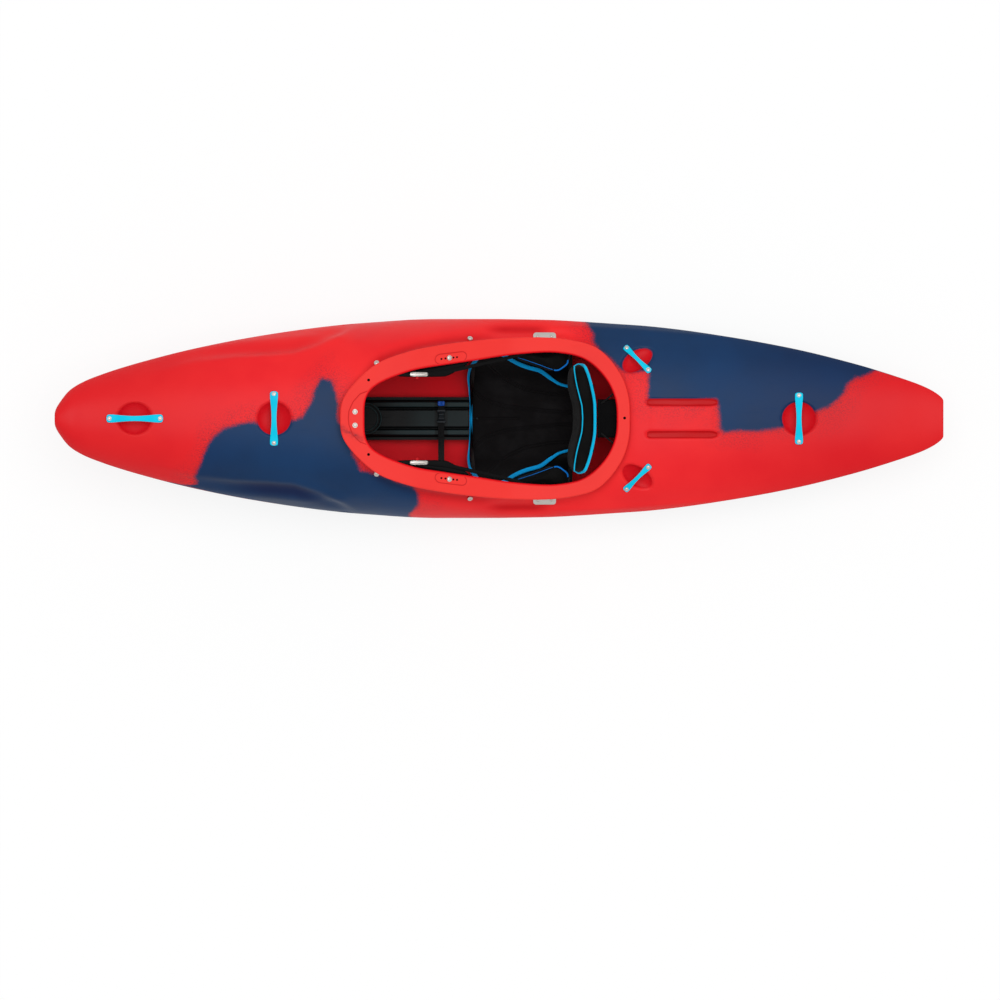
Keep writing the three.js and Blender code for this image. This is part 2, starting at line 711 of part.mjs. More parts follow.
// The one body that is left when slivers and closed bubbles are dropped
function mainBody(solid) {
  const pieces = solid.decompose();
  return pieces.sort((a, b) => b.volume() - a.volume())[0];
}

// Hull, deck and rim
let hull = hullOuter.subtract(hullHollow);
hull = drilled(hull, bolt => bolt.name.startsWith('foot_rail'));
addNode('hull', hull, 'shell');

let deck = deckOuter.subtract(deckHollow);
dishes.forEach(dish => {
  deck = deck.add(dishSolid(dish, shellWall).intersect(deckOuter));
});
dishes.forEach(dish => {
  deck = deck.subtract(dishSolid(dish, 0));
});
deck = deck.subtract(holeSolid());
deck = drilled(deck, bolt => !bolt.name.startsWith('foot_rail') && !bolt.name.startsWith('rim_'));

// The deck in five lengths, cut where no dish, groove or handle crosses
const deckLengths = [
  { name: 'deck_bow', end: hullLength * -0.3305 },
  { name: 'deck_front', end: hullLength * -0.2045 },
  { name: 'deck_middle', end: cockpitPlace(0.9425, 0).x },
  { name: 'deck_rear', end: hullLength * 0.2776 },
  { name: 'deck_stern', end: hullLength },
];
deckLengths.forEach(({ name, end }, k) => {
  const start = k === 0 ? -hullLength : deckLengths[k - 1].end + fitGap;
  const length = boxSolid(at(start, -halfBeam * 2, 0), at(end, halfBeam * 2, mouldHeight * 2));
  addNode(name, mainBody(deck.intersect(length)), 'shell');
});

const rim = ringSolid(rimLoop.map(place => rimSection(place, 0)));
addNode('cockpit_rim', drilled(rim, bolt => bolt.name.startsWith('rim_')), 'rim');

handles.forEach(handle => {
  const strap = drilled(handleSolid(handle), bolt => bolt.name.startsWith(handle.name));
  addNode(handle.name, strap, 'handle');
});
sides.forEach(({ word, sign }) => {
  const name = `side_plate_${word}`;
  const studs = bolts.filter(bolt => bolt.name.startsWith(name)).map(boltSolid);
  addNode(name, studs.reduce((body, stud) => body.add(stud), sidePlateSolid(sign)), 'steel');
});
bolts.forEach(bolt => {
  const joined = bolt.name.startsWith('side_plate') || bolt.name.startsWith('foot_rail');
  if (!joined) addNode(bolt.name, boltSolid(bolt), 'steel');
});

// Length of the seat, which the rear pillar and the tray keep clear of
const pad = { start: -92, long: 340, half: 178, thick: 22, wing: 92, dip: 6 };
const padEnd = pad.start + pad.long;
const frameFoot = { behind: 30, thick: 7, pillarGap: 12.0107 };
const footStart = padEnd + frameFoot.behind;
const panEnd = footStart + frameFoot.thick * 2;

// Foam pillars under the deck
const pillarHalf = { front: 30, rear: 59 };
const pillarSpan = {
  frontStart: hullLength * -0.37436,
  frontEnd: cockpitPlace(0.0309, 0).x,
  rearStart: panEnd + frameFoot.pillarGap,
  rearEnd: hullLength * 0.31044,
};
const pillarHeight = mouldHeight * 2;
const dishClear = shellWall + fitGap + fitGap;
function pillarSolid(from, to, half) {
  let body = cavity.intersect(boxSolid(at(from, -half, 0), at(to, half, pillarHeight)));
  dishes.forEach(dish => {
    body = body.subtract(dishSolid(dish, dishClear));
  });
  const rimClear = ringSolid(rimLoop.map(place => rimSection(place, fitGap)));
  return body.subtract(rimClear);
}
addNode('front_pillar', pillarSolid(pillarSpan.frontStart, pillarSpan.frontEnd, pillarHalf.front), 'foam');
addNode('rear_pillar', pillarSolid(pillarSpan.rearStart, pillarSpan.rearEnd, pillarHalf.rear), 'foam');

// Centre tray with two ribs, its cup, the strap and its buckle
const tray = {
  start: cockpitPlace(0.0331, 0).x,
  end: pad.start - 1,
  half: 66,
  edge: 44,
  rib: 60,
  panel: 50,
  valley: 46,
  wall: 6,
};
const ribShares = { outer: 0.75, inner: 0.56, panel: 0.38, edge: 0.86 };
const trayTop = [
  [1, tray.edge],
  [ribShares.edge, tray.edge],
  [ribShares.outer, tray.rib],
  [ribShares.inner, tray.rib],
  [ribShares.panel + 0.08, tray.valley],
  [ribShares.panel, tray.panel],
].map(([share, z]) => [share * tray.half, z]);
function traySection() {
  const upper = trayTop.concat(trayTop.map(([y, z]) => [-y, z]).reverse());
  const inner = tray.half - tray.wall;
  const under = tray.edge - tray.wall;
  return upper.concat([[-tray.half, 0], [-inner, 0], [-inner, under], [inner, under], [inner, 0], [tray.half, 0]]);
}
const trayLoops = [tray.start, tray.end].map(x => traySection().map(([y, z]) => at(x, y, z)));

const cup = { x: tray.start + 50, radius: 49, wall: 4, height: 22, floor: 4 };
const cupBase = tray.rib - cup.floor / 2;
const cupProfile = [
  [0, 0],
  [cup.radius, 0],
  [cup.radius, cup.height],
  [cup.radius - cup.wall, cup.height],
  [cup.radius - cup.wall, cup.floor],
  [0, cup.floor],
];
const up = at(0, 0, 1);
const cupSides = 24;
const cupBody = turnedSolid(cupProfile, cupSides, at(cup.x, 0, cupBase), up);
addNode('centre_tray', loftSolid(trayLoops).intersect(cavity).add(cupBody), 'black');

// Thigh brace stations, as shares of the cockpit's length and half width
const braceStations = [
  { along: 0.1877, inner: 0.532, edge: 0.544, outer: 0.612 },
  { along: 0.2123, inner: 0.516, edge: 0.564, outer: 0.632 },
  { along: 0.2459, inner: 0.512, edge: 0.588, outer: 0.664 },
  { along: 0.2795, inner: 0.512, edge: 0.616, outer: 0.708 },
  { along: 0.3187, inner: 0.512, edge: 0.632, outer: 0.728 },
  { along: 0.3579, inner: 0.516, edge: 0.656, outer: 0.76 },
  { along: 0.4027, inner: 0.584, edge: 0.684, outer: 0.78 },
  { along: 0.4453, inner: 0.68, edge: 0.704, outer: 0.796 },
];
const braceInner = along => {
  const places = braceStations.map(row => row.along);
  return cockpitHalfWidth * smoothThrough(places, braceStations.map(row => row.inner), along);
};

const webbingAlong = 0.349;
const webbing = { x: cockpitPlace(webbingAlong, 0).x, wide: 19, thick: 2 };
const strapPath = [[56, 0], [49, 0], [38, 0], [0, 0], [-38, 0], [-49, 0], [-66, 2], [-90, 30], [-118, 110]];
const braceUnder = 46;
const strapEnd = { y: -braceInner(webbingAlong) - 21, gap: 5 };
function ribbonSolid(points, wide, thick, outward) {
  const loops = points.map((point, k) => {
    const before = points[Math.max(k - 1, 0)];
    const after = points[Math.min(k + 1, points.length - 1)];
    const along = after.clone().sub(before).normalize();
    const lift = along.clone().cross(outward).normalize().multiplyScalar(thick / 2);
    const wing = outward.clone().multiplyScalar(wide / 2);
    const corner = (a, b) => point.clone().addScaledVector(wing, a).addScaledVector(lift, b);
    return [corner(-1, -1), corner(1, -1), corner(1, 1), corner(-1, 1)];
  });
  return loftSolid(loops);
}
const strapBase = tray.rib + fitGap + webbing.thick / 2;
const strapPoints = strapPath.map(([y, rise]) => at(webbing.x, y, strapBase + rise));
strapPoints.push(at(webbing.x, strapEnd.y, rimTop(webbing.x) - braceUnder - strapEnd.gap - webbing.thick));
addNode('tray_strap', ribbonSolid(strapPoints, webbing.wide, webbing.thick, at(1, 0, 0)), 'cloth');

const buckle = { wide: 26, long: 41, thick: 9 };
const strapSkin = strapBase + webbing.thick / 2 + fitGap;
addNode('strap_buckle', boxSolid(
  at(webbing.x - buckle.wide / 2, 7 - buckle.long / 2, strapSkin),
  at(webbing.x + buckle.wide / 2, 7 + buckle.long / 2, strapSkin + buckle.thick),
), 'black');
const anchor = { wide: 22, long: 14, thick: 6, y: 46 };
addNode('strap_anchor', boxSolid(
  at(webbing.x - anchor.wide / 2, anchor.y - anchor.long / 2, strapSkin),
  at(webbing.x + anchor.wide / 2, anchor.y + anchor.long / 2, strapSkin + anchor.thick),
), 'anchor');

// Seat pan with its wings and brackets
const pan = { start: pad.start + 8, end: panEnd, half: 104, top: 36, wall: 5 };
let panBody = boxSolid(at(pan.start, -pan.half, 0), at(pan.end, pan.half, pan.top));
const panInside = pan.half - pan.wall;
panBody = panBody.subtract(boxSolid(
  at(pan.start + pan.wall, -panInside, -pan.wall),
  at(pan.end - pan.wall, panInside, pan.top - pan.wall),
));
const bracket = { x: padEnd - 34, thick: 12, inner: 100, outer: 205, top: 132, base: 20 };
const panWing = { start: 40, reach: 52, thick: 4, columns: 10 };
function padUnder(y) {
  const reach = Math.max(Math.abs(y) - pan.half, 0) / (pad.half - pan.half);
  return pan.top + fitGap + pad.wing * reach * reach;
}
function panWingSolid(sign) {
  const over = [at(0, sign * panInside, pan.top)];
  for (let k = 0; k <= panWing.columns; k += 1) {
    const y = pan.half + panWing.reach * k / panWing.columns;
    over.push(at(0, sign * y, padUnder(y) - fitGap));
  }
  const section = over.concat(over.map(point => at(0, point.y, point.z - panWing.thick)).reverse());
  return loftSolid([panWing.start, bracket.x].map(x => section.map(point => at(x, point.y, point.z))));
}
sides.forEach(({ sign }) => {
  const reach = [sign * bracket.inner, sign * bracket.outer].sort((a, b) => a - b);
  panBody = panBody.add(panWingSolid(sign)).add(boxSolid(
    at(bracket.x, reach[0], bracket.base),
    at(bracket.x + bracket.thick, reach[1], bracket.top),
  ));
});
addNode('seat_pan', panBody.intersect(cavity), 'black');

// Seat pad: half widths as shares of the widest one, along the pad's length
const padShares = [
  { along: 0, half: 0.985 },
  { along: 0.08, half: 1 },
  { along: 0.28, half: 1 },
  { along: 0.36, half: 0.98 },
  { along: 0.44, half: 0.9 },
  { along: 0.56, half: 0.82 },
  { along: 0.68, half: 0.72 },
  { along: 0.8, half: 0.6 },
  { along: 0.9, half: 0.545 },
  { along: 1, half: 0.53 },
];
const padAlong = padShares.map(row => row.along);
const padHalf = padShares.map(row => row.half);
function padThickness(share, across) {
  const edge = 1 - Math.pow(Math.abs(across), 6);
  const ends = 1 - Math.pow(Math.abs(2 * share - 1), 10);
  const tuft = pad.dip * Math.pow(Math.cos(across * Math.PI * 1.5), 2) * share;
  return pad.thick * (0.35 + 0.65 * Math.sqrt(Math.max(edge * ends, 0))) - tuft * edge * ends;
}
const padRows = 18;
const padColumns = 16;
const padLoops = [];
for (let k = 0; k <= padRows; k += 1) {
  const share = k / padRows;
  const half = pad.half * smoothThrough(padAlong, padHalf, share);
  const under = [];
  const over = [];
  for (let m = 0; m <= padColumns; m += 1) {
    const across = 2 * m / padColumns - 1;
    const y = half * across;
    const front = pad.dip * Math.cos(across * Math.PI * 2) * Math.pow(1 - share, 8);
    const x = pad.start + pad.long * share - front + pad.dip * Math.pow(1 - share, 8);
    const low = padUnder(y);
    under.push(at(x, y, low));
    over.push(at(x, y, low + padThickness(share, across)));
  }
  padLoops.push(under.concat(over.reverse()));
}
addNode('seat_pad', loftSolid(padLoops), 'cloth');

// Hip pads, in front of the brackets
const hipEnd = bracket.x - fitGap - 0.2;
const hip = {
  start: hipEnd - 165.5,
  peak: hipEnd - 47.5,
  back: hipEnd - 29.5,
  end: hipEnd,
  tip: 190,
  inner: 148,
  rear: 172,
  outer: 214,
  low: 84,
  high: 226,
};
function hipSolid(sign) {
  const outline = [
    [hip.start, hip.tip],
    [hip.peak, hip.inner],
    [hip.back, hip.inner],
    [hip.end, hip.rear],
    [hip.end, hip.outer],
    [hip.start, hip.outer],
  ];
  const centre = outline.reduce((sum, [x, y]) => [sum[0] + x / outline.length, sum[1] + y / outline.length], [0, 0]);
  const levelShares = [[0, 0.8], [0.12, 0.95], [0.3, 1], [0.7, 1], [0.88, 0.95], [1, 0.8]];
  return loftSolid(levelShares.map(([level, size]) => outline.map(([x, y]) => at(
    x === hip.end ? x : centre[0] + (x - centre[0]) * size,
    sign * (y === hip.outer ? y : centre[1] + (y - centre[1]) * size),
    hip.low + (hip.high - hip.low) * level,
  ))));
}
sides.forEach(({ word, sign }) => {
  addNode(`hip_pad_${word}`, hipSolid(sign), 'cloth');
});

// Backband: a curved pad with raised wings, on a frame hinged at the back of the seat pan
const band = { half: 168, low: 148, lowRise: 18, tall: 250, deep: 40, sweep: 50, lean: 0.24, wingStraightShare: 0.8 };
const bandShares = [
  { along: 0, out: 0, front: 0.18, thick: 0.95, high: 1.116 },
  { along: 0.3, out: 0.42, front: 0.13, thick: 0.9, high: 1.136 },
  { along: 0.6, out: 0.76, front: 0.02, thick: 0.75, high: 1.212 },
  { along: 0.8, out: 0.91, front: -0.1, thick: 0.55, high: 1.26 },
  { along: 0.9, out: 0.96, front: -0.28, thick: 0.45, high: 1.212 },
  { along: 1, out: 1, front: -0.5, thick: 0.35, high: 1.1 },
];
const bandColumns = 18;
const bandAlong = bandShares.map(row => row.along);
const bandShare = (key, along) => smoothThrough(bandAlong, bandShares.map(row => row[key]), along);
function bandPlace(across) {
  const along = Math.abs(across);
  const high = band.tall * bandShare('high', along);
  const low = band.low + band.lowRise * Math.pow(along, 4);
  return {
    y: Math.sign(across) * band.half * bandShare('out', along),
    front: padEnd + band.sweep * bandShare('front', along),
    thick: band.deep * bandShare('thick', along),
    high,
    low,
    lean: band.lean * (1 - band.wingStraightShare * Math.pow(along, 3)),
  };
}
const bandOutlineShares = [
  [0, 0.06], [0, 0.5], [0, 0.94], [0.12, 1], [0.55, 1], [0.9, 1], [1, 0.95], [1, 0.5], [1, 0.05], [0.85, 0], [0.2, 0],
];
const bandLoops = [];
for (let m = 0; m <= bandColumns; m += 1) {
  const { y, front, thick, high, low, lean } = bandPlace(2 * m / bandColumns - 1);
  bandLoops.push(bandOutlineShares.map(([depth, level]) => {
    const z = low + (high - low) * level;
    return at(front + thick * depth - (high - z) * lean, y, z);
  }));
}
addNode('backband', loftSolid(bandLoops), 'cloth');

const frame = { half: 74, thick: 5, top: 252 };
const frameBase = pan.top + fitGap;
const frameLoops = [];
const frameColumns = 8;
for (let m = 0; m <= frameColumns; m += 1) {
  const y = frame.half * (2 * m / frameColumns - 1);
  const along = Math.abs(y) / band.half / 1.4;
  const { front, thick, high, lean } = bandPlace(along);
  const rear = z => front + thick - (high - z) * lean + fitGap * 2;
  frameLoops.push([
    at(footStart, y, frameBase),
    at(rear(band.low), y, band.low),
    at(rear(frame.top), y, frame.top),
    at(rear(frame.top) + frame.thick, y, frame.top),
    at(rear(band.low) + frame.thick, y, band.low),
    at(footStart + frameFoot.thick, y, frameBase),
  ]);
}
addNode('backband_frame', loftSolid(frameLoops), 'black');

const cord = {
  radius: 2.5,
  inset: 10,
  sideInset: 13,
  middle: cockpitPlace(0.929, 0.264),
  end: cockpitPlace(0.9514, 0.332),
};
const cordStart = at(pillarSpan.rearStart + cord.inset, pillarHalf.rear - cord.sideInset, 0);
sides.forEach(({ word, sign }) => {
  const pillarTop = deckHeight(cordStart.x, 0) - shellWall + cord.radius + fitGap;
  const under = rimTop(cord.end.x) - rimPlate - cord.radius * 2;
  const path = [
    at(cordStart.x, sign * cordStart.y, pillarTop),
    at(cord.middle.x, sign * cord.middle.y, (pillarTop + under) / 2 + cord.radius),
    at(cord.end.x, sign * cord.end.y, under),
  ];
  addNode(`backband_cord_${word}`, tubeSolid(path, cord.radius, 8, 8), 'rope');
});

// Thigh braces under the rim, with a ratchet and a ladder strap on each
const brace = { step: 30, shelf: 30.2, under: 50, middle: 46, back: 30, lip: 3 };
function braceSolid(sign) {
  return loftSolid(braceStations.map(({ along, inner, edge, outer }) => {
    const { x } = cockpitPlace(along, 0);
    const top = rimTop(x);
    return [
      [outer, 0, braceDrop],
      [edge, 0, braceDrop],
      [edge, brace.lip, brace.step],
      [inner, 0, brace.shelf],
      [inner, 0, brace.under],
      [edge, 0, brace.middle],
      [outer, 0, brace.back],
    ].map(([half, inset, drop]) => at(x, sign * (cockpitHalfWidth * half - inset), top - drop));
  }));
}
const ratchetAlong = 0.2414;
const ratchetStart = cockpitPlace(ratchetAlong, 0).x;
const ratchetInner = braceInner(ratchetAlong) + 1.5;
const ratchet = {
  start: ratchetStart,
  end: ratchetStart + 56,
  inner: ratchetInner,
  outer: ratchetInner + 13,
  base: 29.6,
  top: 15,
};
const lever = {
  start: ratchet.start + 2,
  end: ratchet.end - 4,
  inner: ratchet.inner + 1,
  outer: ratchet.outer - 2.5,
  thick: 4,
};
function slopedBox(start, end, inner, outer, base, top, sign) {
  return loftSolid([start, (start + end) / 2, end].map(x => [
    at(x, sign * inner, rimTop(x) - base),
    at(x, sign * outer, rimTop(x) - base),
    at(x, sign * outer, rimTop(x) - top),
    at(x, sign * inner, rimTop(x) - top),
  ]));
}
const ladder = { wide: 11, thick: 3 };
const ladderStations = [
  { along: 0.3355, half: 0.564, drop: 25 },
  { along: 0.3803, half: 0.584, drop: 26 },
  { along: 0.4251, half: 0.62, drop: 27 },
  { along: 0.4699, half: 0.66, drop: 28 },
  { along: 0.5259, half: 0.704, drop: 29 },
  { along: 0.5931, half: 0.76, drop: 30 },
  { along: 0.6491, half: 0.82, drop: 30 },
  { along: 0.6939, half: 0.858, drop: 30 },
];
const ladderPath = ladderStations.map(({ along, half, drop }) => {
  const { x, y } = cockpitPlace(along, half);
  return { x, y, drop };
});
ladderPath.unshift({ x: ratchet.end + 0.5, y: ratchet.inner + 8.5, drop: 24 });
sides.forEach(({ word, sign }) => {
  const slot = bolts.findIndex(bolt => bolt.name === `rim_slot_bolt_${word}`);
  addNode(`thigh_brace_${word}`, braceSolid(sign).subtract(drills[slot]), 'black');
  const { start, end, inner, outer } = ratchet;
  addNode(`ratchet_${word}`, slopedBox(start, end, inner, outer, ratchet.base, ratchet.top, sign), 'steel');
  const low = ratchet.top - fitGap;
  const high = low - lever.thick;
  const leverBody = slopedBox(lever.start, lever.end, lever.inner, lever.outer, low, high, sign);
  addNode(`ratchet_lever_${word}`, leverBody, 'steel');
  const points = ladderPath.map(({ x, y, drop }) => at(x, sign * y, rimTop(x) - drop));
  addNode(`ladder_strap_${word}`, ribbonSolid(points, ladder.wide, ladder.thick, at(0, sign, 0)), 'black');
});

// Foot rails on the hull sides, with a footplate and its foam sliding on each
const rail = {
  fore: hullLength * -0.28123,
  aft: hullLength * -0.15047,
  standOff: 20,
  thick: 8,
  high: 20,
  spacer: 9,
};
const besideHull = x => sideOffset(x, railHeight) - shellWall - rail.standOff;
const railSlope = (besideHull(rail.aft) - besideHull(rail.fore)) / (rail.aft - rail.fore);
const railHalf = x => besideHull(rail.fore) + (x - rail.fore) * railSlope;
const spacerSides = 14;
function railSolid(word, sign) {
  let body = loftSolid([rail.fore, rail.aft].map(x => [
    at(x, sign * (railHalf(x) - rail.thick / 2), railHeight - rail.high / 2),
    at(x, sign * (railHalf(x) + rail.thick / 2), railHeight - rail.high / 2),
    at(x, sign * (railHalf(x) + rail.thick / 2), railHeight + rail.high / 2),
    at(x, sign * (railHalf(x) - rail.thick / 2), railHeight + rail.high / 2),
  ]));
  const studs = bolts.filter(bolt => bolt.name.startsWith('foot_rail') && bolt.name.endsWith(word));
  studs.forEach(({ point, axis }) => {
    const inner = point.clone().addScaledVector(axis, -shellWall / 2);
    const length = Math.abs(inner.y) - railHalf(inner.x);
    const middle = inner.clone().addScaledVector(axis, -length / 2);
    body = body.add(plugSolid(rail.spacer, length, middle, axis, spacerSides));
  });
  return studs.reduce((whole, stud) => whole.add(boltSolid(stud)), body.intersect(cavity));
}
const foot = {
  x: rail.fore + 80,
  thick: 12,
  inner: 46,
  outer: railHalf(rail.fore) - 35,
  low: 108,
  high: 284,
  arm: 50,
  armHigh: 16,
  foam: 10,
};
function footplateSolid(sign) {
  const low = Math.min(sign * foot.inner, sign * foot.outer);
  const high = Math.max(sign * foot.inner, sign * foot.outer);
  const plateBody = boxSolid(at(foot.x - foot.thick, low, foot.low), at(foot.x, high, foot.high));
  const reach = x => railHalf(x) - rail.thick / 2 - fitGap;
  const arm = loftSolid([foot.x - foot.arm, foot.x].map(x => [
    at(x, sign * (foot.outer - foot.thick), railHeight - foot.armHigh / 2),
    at(x, sign * reach(x), railHeight - foot.armHigh / 2),
    at(x, sign * reach(x), railHeight + foot.armHigh / 2),
    at(x, sign * (foot.outer - foot.thick), railHeight + foot.armHigh / 2),
  ]));
  return plateBody.add(arm);
}
sides.forEach(({ word, sign }) => {
  addNode(`foot_rail_${word}`, railSolid(word, sign), 'steel');
  addNode(`footplate_${word}`, footplateSolid(sign), 'black');
  const inset = foot.thick / 2;
  const y = [sign * (foot.inner + inset), sign * (foot.outer - inset)].sort((a, b) => a - b);
  const start = foot.x + fitGap;
  addNode(`footplate_foam_${word}`, boxSolid(
    at(start, y[0], foot.low + inset),
    at(start + foot.foam, y[1], foot.high - inset),
  ), 'foam');
});

export default group;
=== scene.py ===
import math

import bpy
import mathutils
import numpy as np
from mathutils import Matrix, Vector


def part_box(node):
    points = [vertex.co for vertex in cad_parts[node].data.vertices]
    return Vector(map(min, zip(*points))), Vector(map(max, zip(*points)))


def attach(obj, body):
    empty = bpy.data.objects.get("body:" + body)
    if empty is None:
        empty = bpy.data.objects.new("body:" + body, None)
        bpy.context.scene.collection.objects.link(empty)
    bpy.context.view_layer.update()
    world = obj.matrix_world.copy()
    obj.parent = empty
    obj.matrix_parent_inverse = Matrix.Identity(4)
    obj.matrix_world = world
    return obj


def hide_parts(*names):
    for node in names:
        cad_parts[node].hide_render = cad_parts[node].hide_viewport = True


# A short whitewater kayak. Metres, X from bow to stern, Y to starboard, Z up.
# Every shape below is worked out from the sizes that the CAD frame was made with.

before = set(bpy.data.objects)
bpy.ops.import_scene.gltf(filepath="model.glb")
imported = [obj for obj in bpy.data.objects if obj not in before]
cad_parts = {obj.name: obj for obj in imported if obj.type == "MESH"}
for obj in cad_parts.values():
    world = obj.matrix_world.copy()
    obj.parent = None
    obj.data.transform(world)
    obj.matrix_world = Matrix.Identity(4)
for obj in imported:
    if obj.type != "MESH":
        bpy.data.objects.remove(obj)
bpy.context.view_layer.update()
shellBody = "shell"
bothSides = (("left", -1), ("right", 1))
print("frame loaded")

# Sizes that several pieces share
hullShape = {
    "length": 2.738,
    "halfBeam": 0.3065,
    "height": 0.4,
    "wall": 0.006,
    "slimAcross": 2.2,
    "fullAcross": 3.0,
    "slimCrown": 0.79,
    "fullCrown": 0.6,
}

# Shares of length, half beam and height: at, half, keel, seam, top, full, flat
hullRows = np.array([
    (0, 0.03, 0.93, 0.943, 0.957, 0, 0.05),
    (0.0062, 0.166, 0.874, 0.913, 0.982, 0, 0.08),
    (0.0174, 0.286, 0.797, 0.875, 0.99, 0, 0.1),
    (0.0343, 0.377, 0.705, 0.828, 0.974, 0, 0.12),
    (0.0512, 0.437, 0.62, 0.789, 0.966, 0, 0.15),
    (0.1018, 0.578, 0.42, 0.682, 0.936, 0, 0.2),
    (0.1524, 0.693, 0.281, 0.62, 0.92, 0.1, 0.25),
    (0.2199, 0.814, 0.15, 0.539, 0.932, 0.25, 0.32),
    (0.2874, 0.905, 0.073, 0.489, 0.951, 0.6, 0.38),
    (0.3268, 0.945, 0.042, 0.463, 0.953, 0.9, 0.4),
    (0.3661, 0.972, 0.0215, 0.435, 0.975, 1, 0.42),
    (0.401, 0.993, 0, 0.414, 0.96, 1, 0.44),
    (0.4314, 1, 0, 0.408, 0.909, 1, 0.44),
    (0.4708, 1, 0, 0.403, 0.808, 1, 0.44),
    (0.4989, 1, 0, 0.402, 0.72, 1, 0.44),
    (0.5146, 0.998, 0, 0.402, 0.676, 1, 0.45),
    (0.5562, 0.991, 0.027, 0.402, 0.63, 1, 0.46),
    (0.5945, 0.973, 0.051, 0.397, 0.628, 0.8, 0.48),
    (0.6316, 0.951, 0.085, 0.389, 0.64, 0.5, 0.5),
    (0.6586, 0.935, 0.112, 0.383, 0.658, 0.3, 0.52),
    (0.6924, 0.905, 0.158, 0.381, 0.651, 0.1, 0.55),
    (0.7598, 0.819, 0.2425, 0.381, 0.597, 0, 0.6),
    (0.8273, 0.709, 0.327, 0.39, 0.558, 0, 0.65),
    (0.8948, 0.563, 0.404, 0.425, 0.5545, 0, 0.7),
    (0.9454, 0.427, 0.4735, 0.491, 0.574, 0, 0.74),
    (0.9792, 0.317, 0.52, 0.533, 0.589, 0, 0.76),
    (0.9961, 0.226, 0.543, 0.555, 0.589, 0, 0.78),
    (1, 0.171, 0.56, 0.569, 0.578, 0, 0.78),
])


# Monotone cubic through the points (xs, ys): slopes are weighted harmonic means of the rises
def smoothThrough(xs, ys, x):
    xs, ys, x = np.asarray(xs, float), np.asarray(ys, float), np.asarray(x, float)
    steps = np.diff(xs)
    rises = np.diff(ys) / steps
    before = 2 * steps[1:] + steps[:-1]
    after = steps[1:] + 2 * steps[:-1]
    same = rises[:-1] * rises[1:] > 0
    safe = np.where(same, rises[:-1], 1), np.where(same, rises[1:], 1)
    inner = np.where(same, (before + after) / (before / safe[0] + after / safe[1]), 0)
    slopes = np.concatenate([[rises[0]], inner, [rises[-1]]])
    x = np.clip(x, xs[0], xs[-1])
    i = np.clip(np.searchsorted(xs, x, side="right") - 1, 0, len(steps) - 1)
    h = steps[i]
    t = (x - xs[i]) / h
    startPart = (2 * t**3 - 3 * t**2 + 1) * ys[i] + (t**3 - 2 * t**2 + t) * h * slopes[i]
    endPart = (3 * t**2 - 2 * t**3) * ys[i + 1] + (t**3 - t**2) * h * slopes[i + 1]
    return startPart + endPart


# Three t squared less two t cubed, t being how far x is from low to high
def smoothStep(low, high, x):
    t = np.clip((np.asarray(x, float) - low) / (high - low), 0, 1)
    return t * t * (3 - 2 * t)


# Rises from 0 to 1 over the first span of x and falls back over the second
def window(x, rise, fall):
    return smoothStep(*rise, x) * (1 - smoothStep(*fall, x))


# Falls from 1 as e to the minus square of the distance over the width
def bell(distance, width):
    return np.exp(-(distance / width) ** 2)


# A quarter circle that rises from 0 at 0 to 1 at 1, but starts no lower than the least value
def quarterRise(share, least=0):
    return np.sqrt(np.clip(1 - (1 - np.clip(share, 0, 1)) ** 2, least, 1))


def unit(v):
    return v / np.maximum(np.linalg.norm(v, axis=-1, keepdims=True), 1e-12)


# The share of a half turn whose cosine gives the place along the length
def turnOf(at):
    return np.arccos(1 - 2 * np.clip(at, 0, 1)) / math.pi


def shellAt(x):
    t = turnOf(np.asarray(x, float) / hullShape["length"] + 0.5)
    turns = turnOf(hullRows[:, 0])
    half, keel, seam, top, full, flat = (smoothThrough(turns, hullRows[:, k], t) for k in range(1, 7))
    across = hullShape["slimAcross"] + (hullShape["fullAcross"] - hullShape["slimAcross"]) * full
    crown = hullShape["slimCrown"] + (hullShape["fullCrown"] - hullShape["slimCrown"]) * full
    height = hullShape["height"]
    return {
        "half": half * hullShape["halfBeam"],
        "keel": keel * height,
        "seam": seam * height,
        "top": top * height,
        "flat": flat,
        "across": across,
        "crown": crown,
    }


# Deck: the seam plus the rise times (1 - u^across)^crown, u being the share of the half width
def deckHeight(x, y):
    s = shellAt(x)
    u = np.clip(np.abs(y) / s["half"], 0, 1)
    return s["seam"] + (s["top"] - s["seam"]) * (1 - u ** s["across"]) ** s["crown"]


# Where the hull side is at a height: an elliptic bilge outside a flat middle
def sideOffset(x, z):
    s = shellAt(x)
    c = np.clip((s["seam"] - z) / (s["seam"] - s["keel"]), 0, 1)
    return s["half"] * (s["flat"] + (1 - s["flat"]) * np.sqrt(1 - c * c))


# The upward normal of a height over the plan, from its differences over a small probe
def slopeNormal(heightAt, x, y, probe=0.004):
    dx = (heightAt(x + probe, y) - heightAt(x - probe, y)) / (2 * probe)
    dy = (heightAt(x, y + probe) - heightAt(x, y - probe)) / (2 * probe)
    return unit(np.stack([-dx, -dy, np.ones_like(dx)], axis=-1))


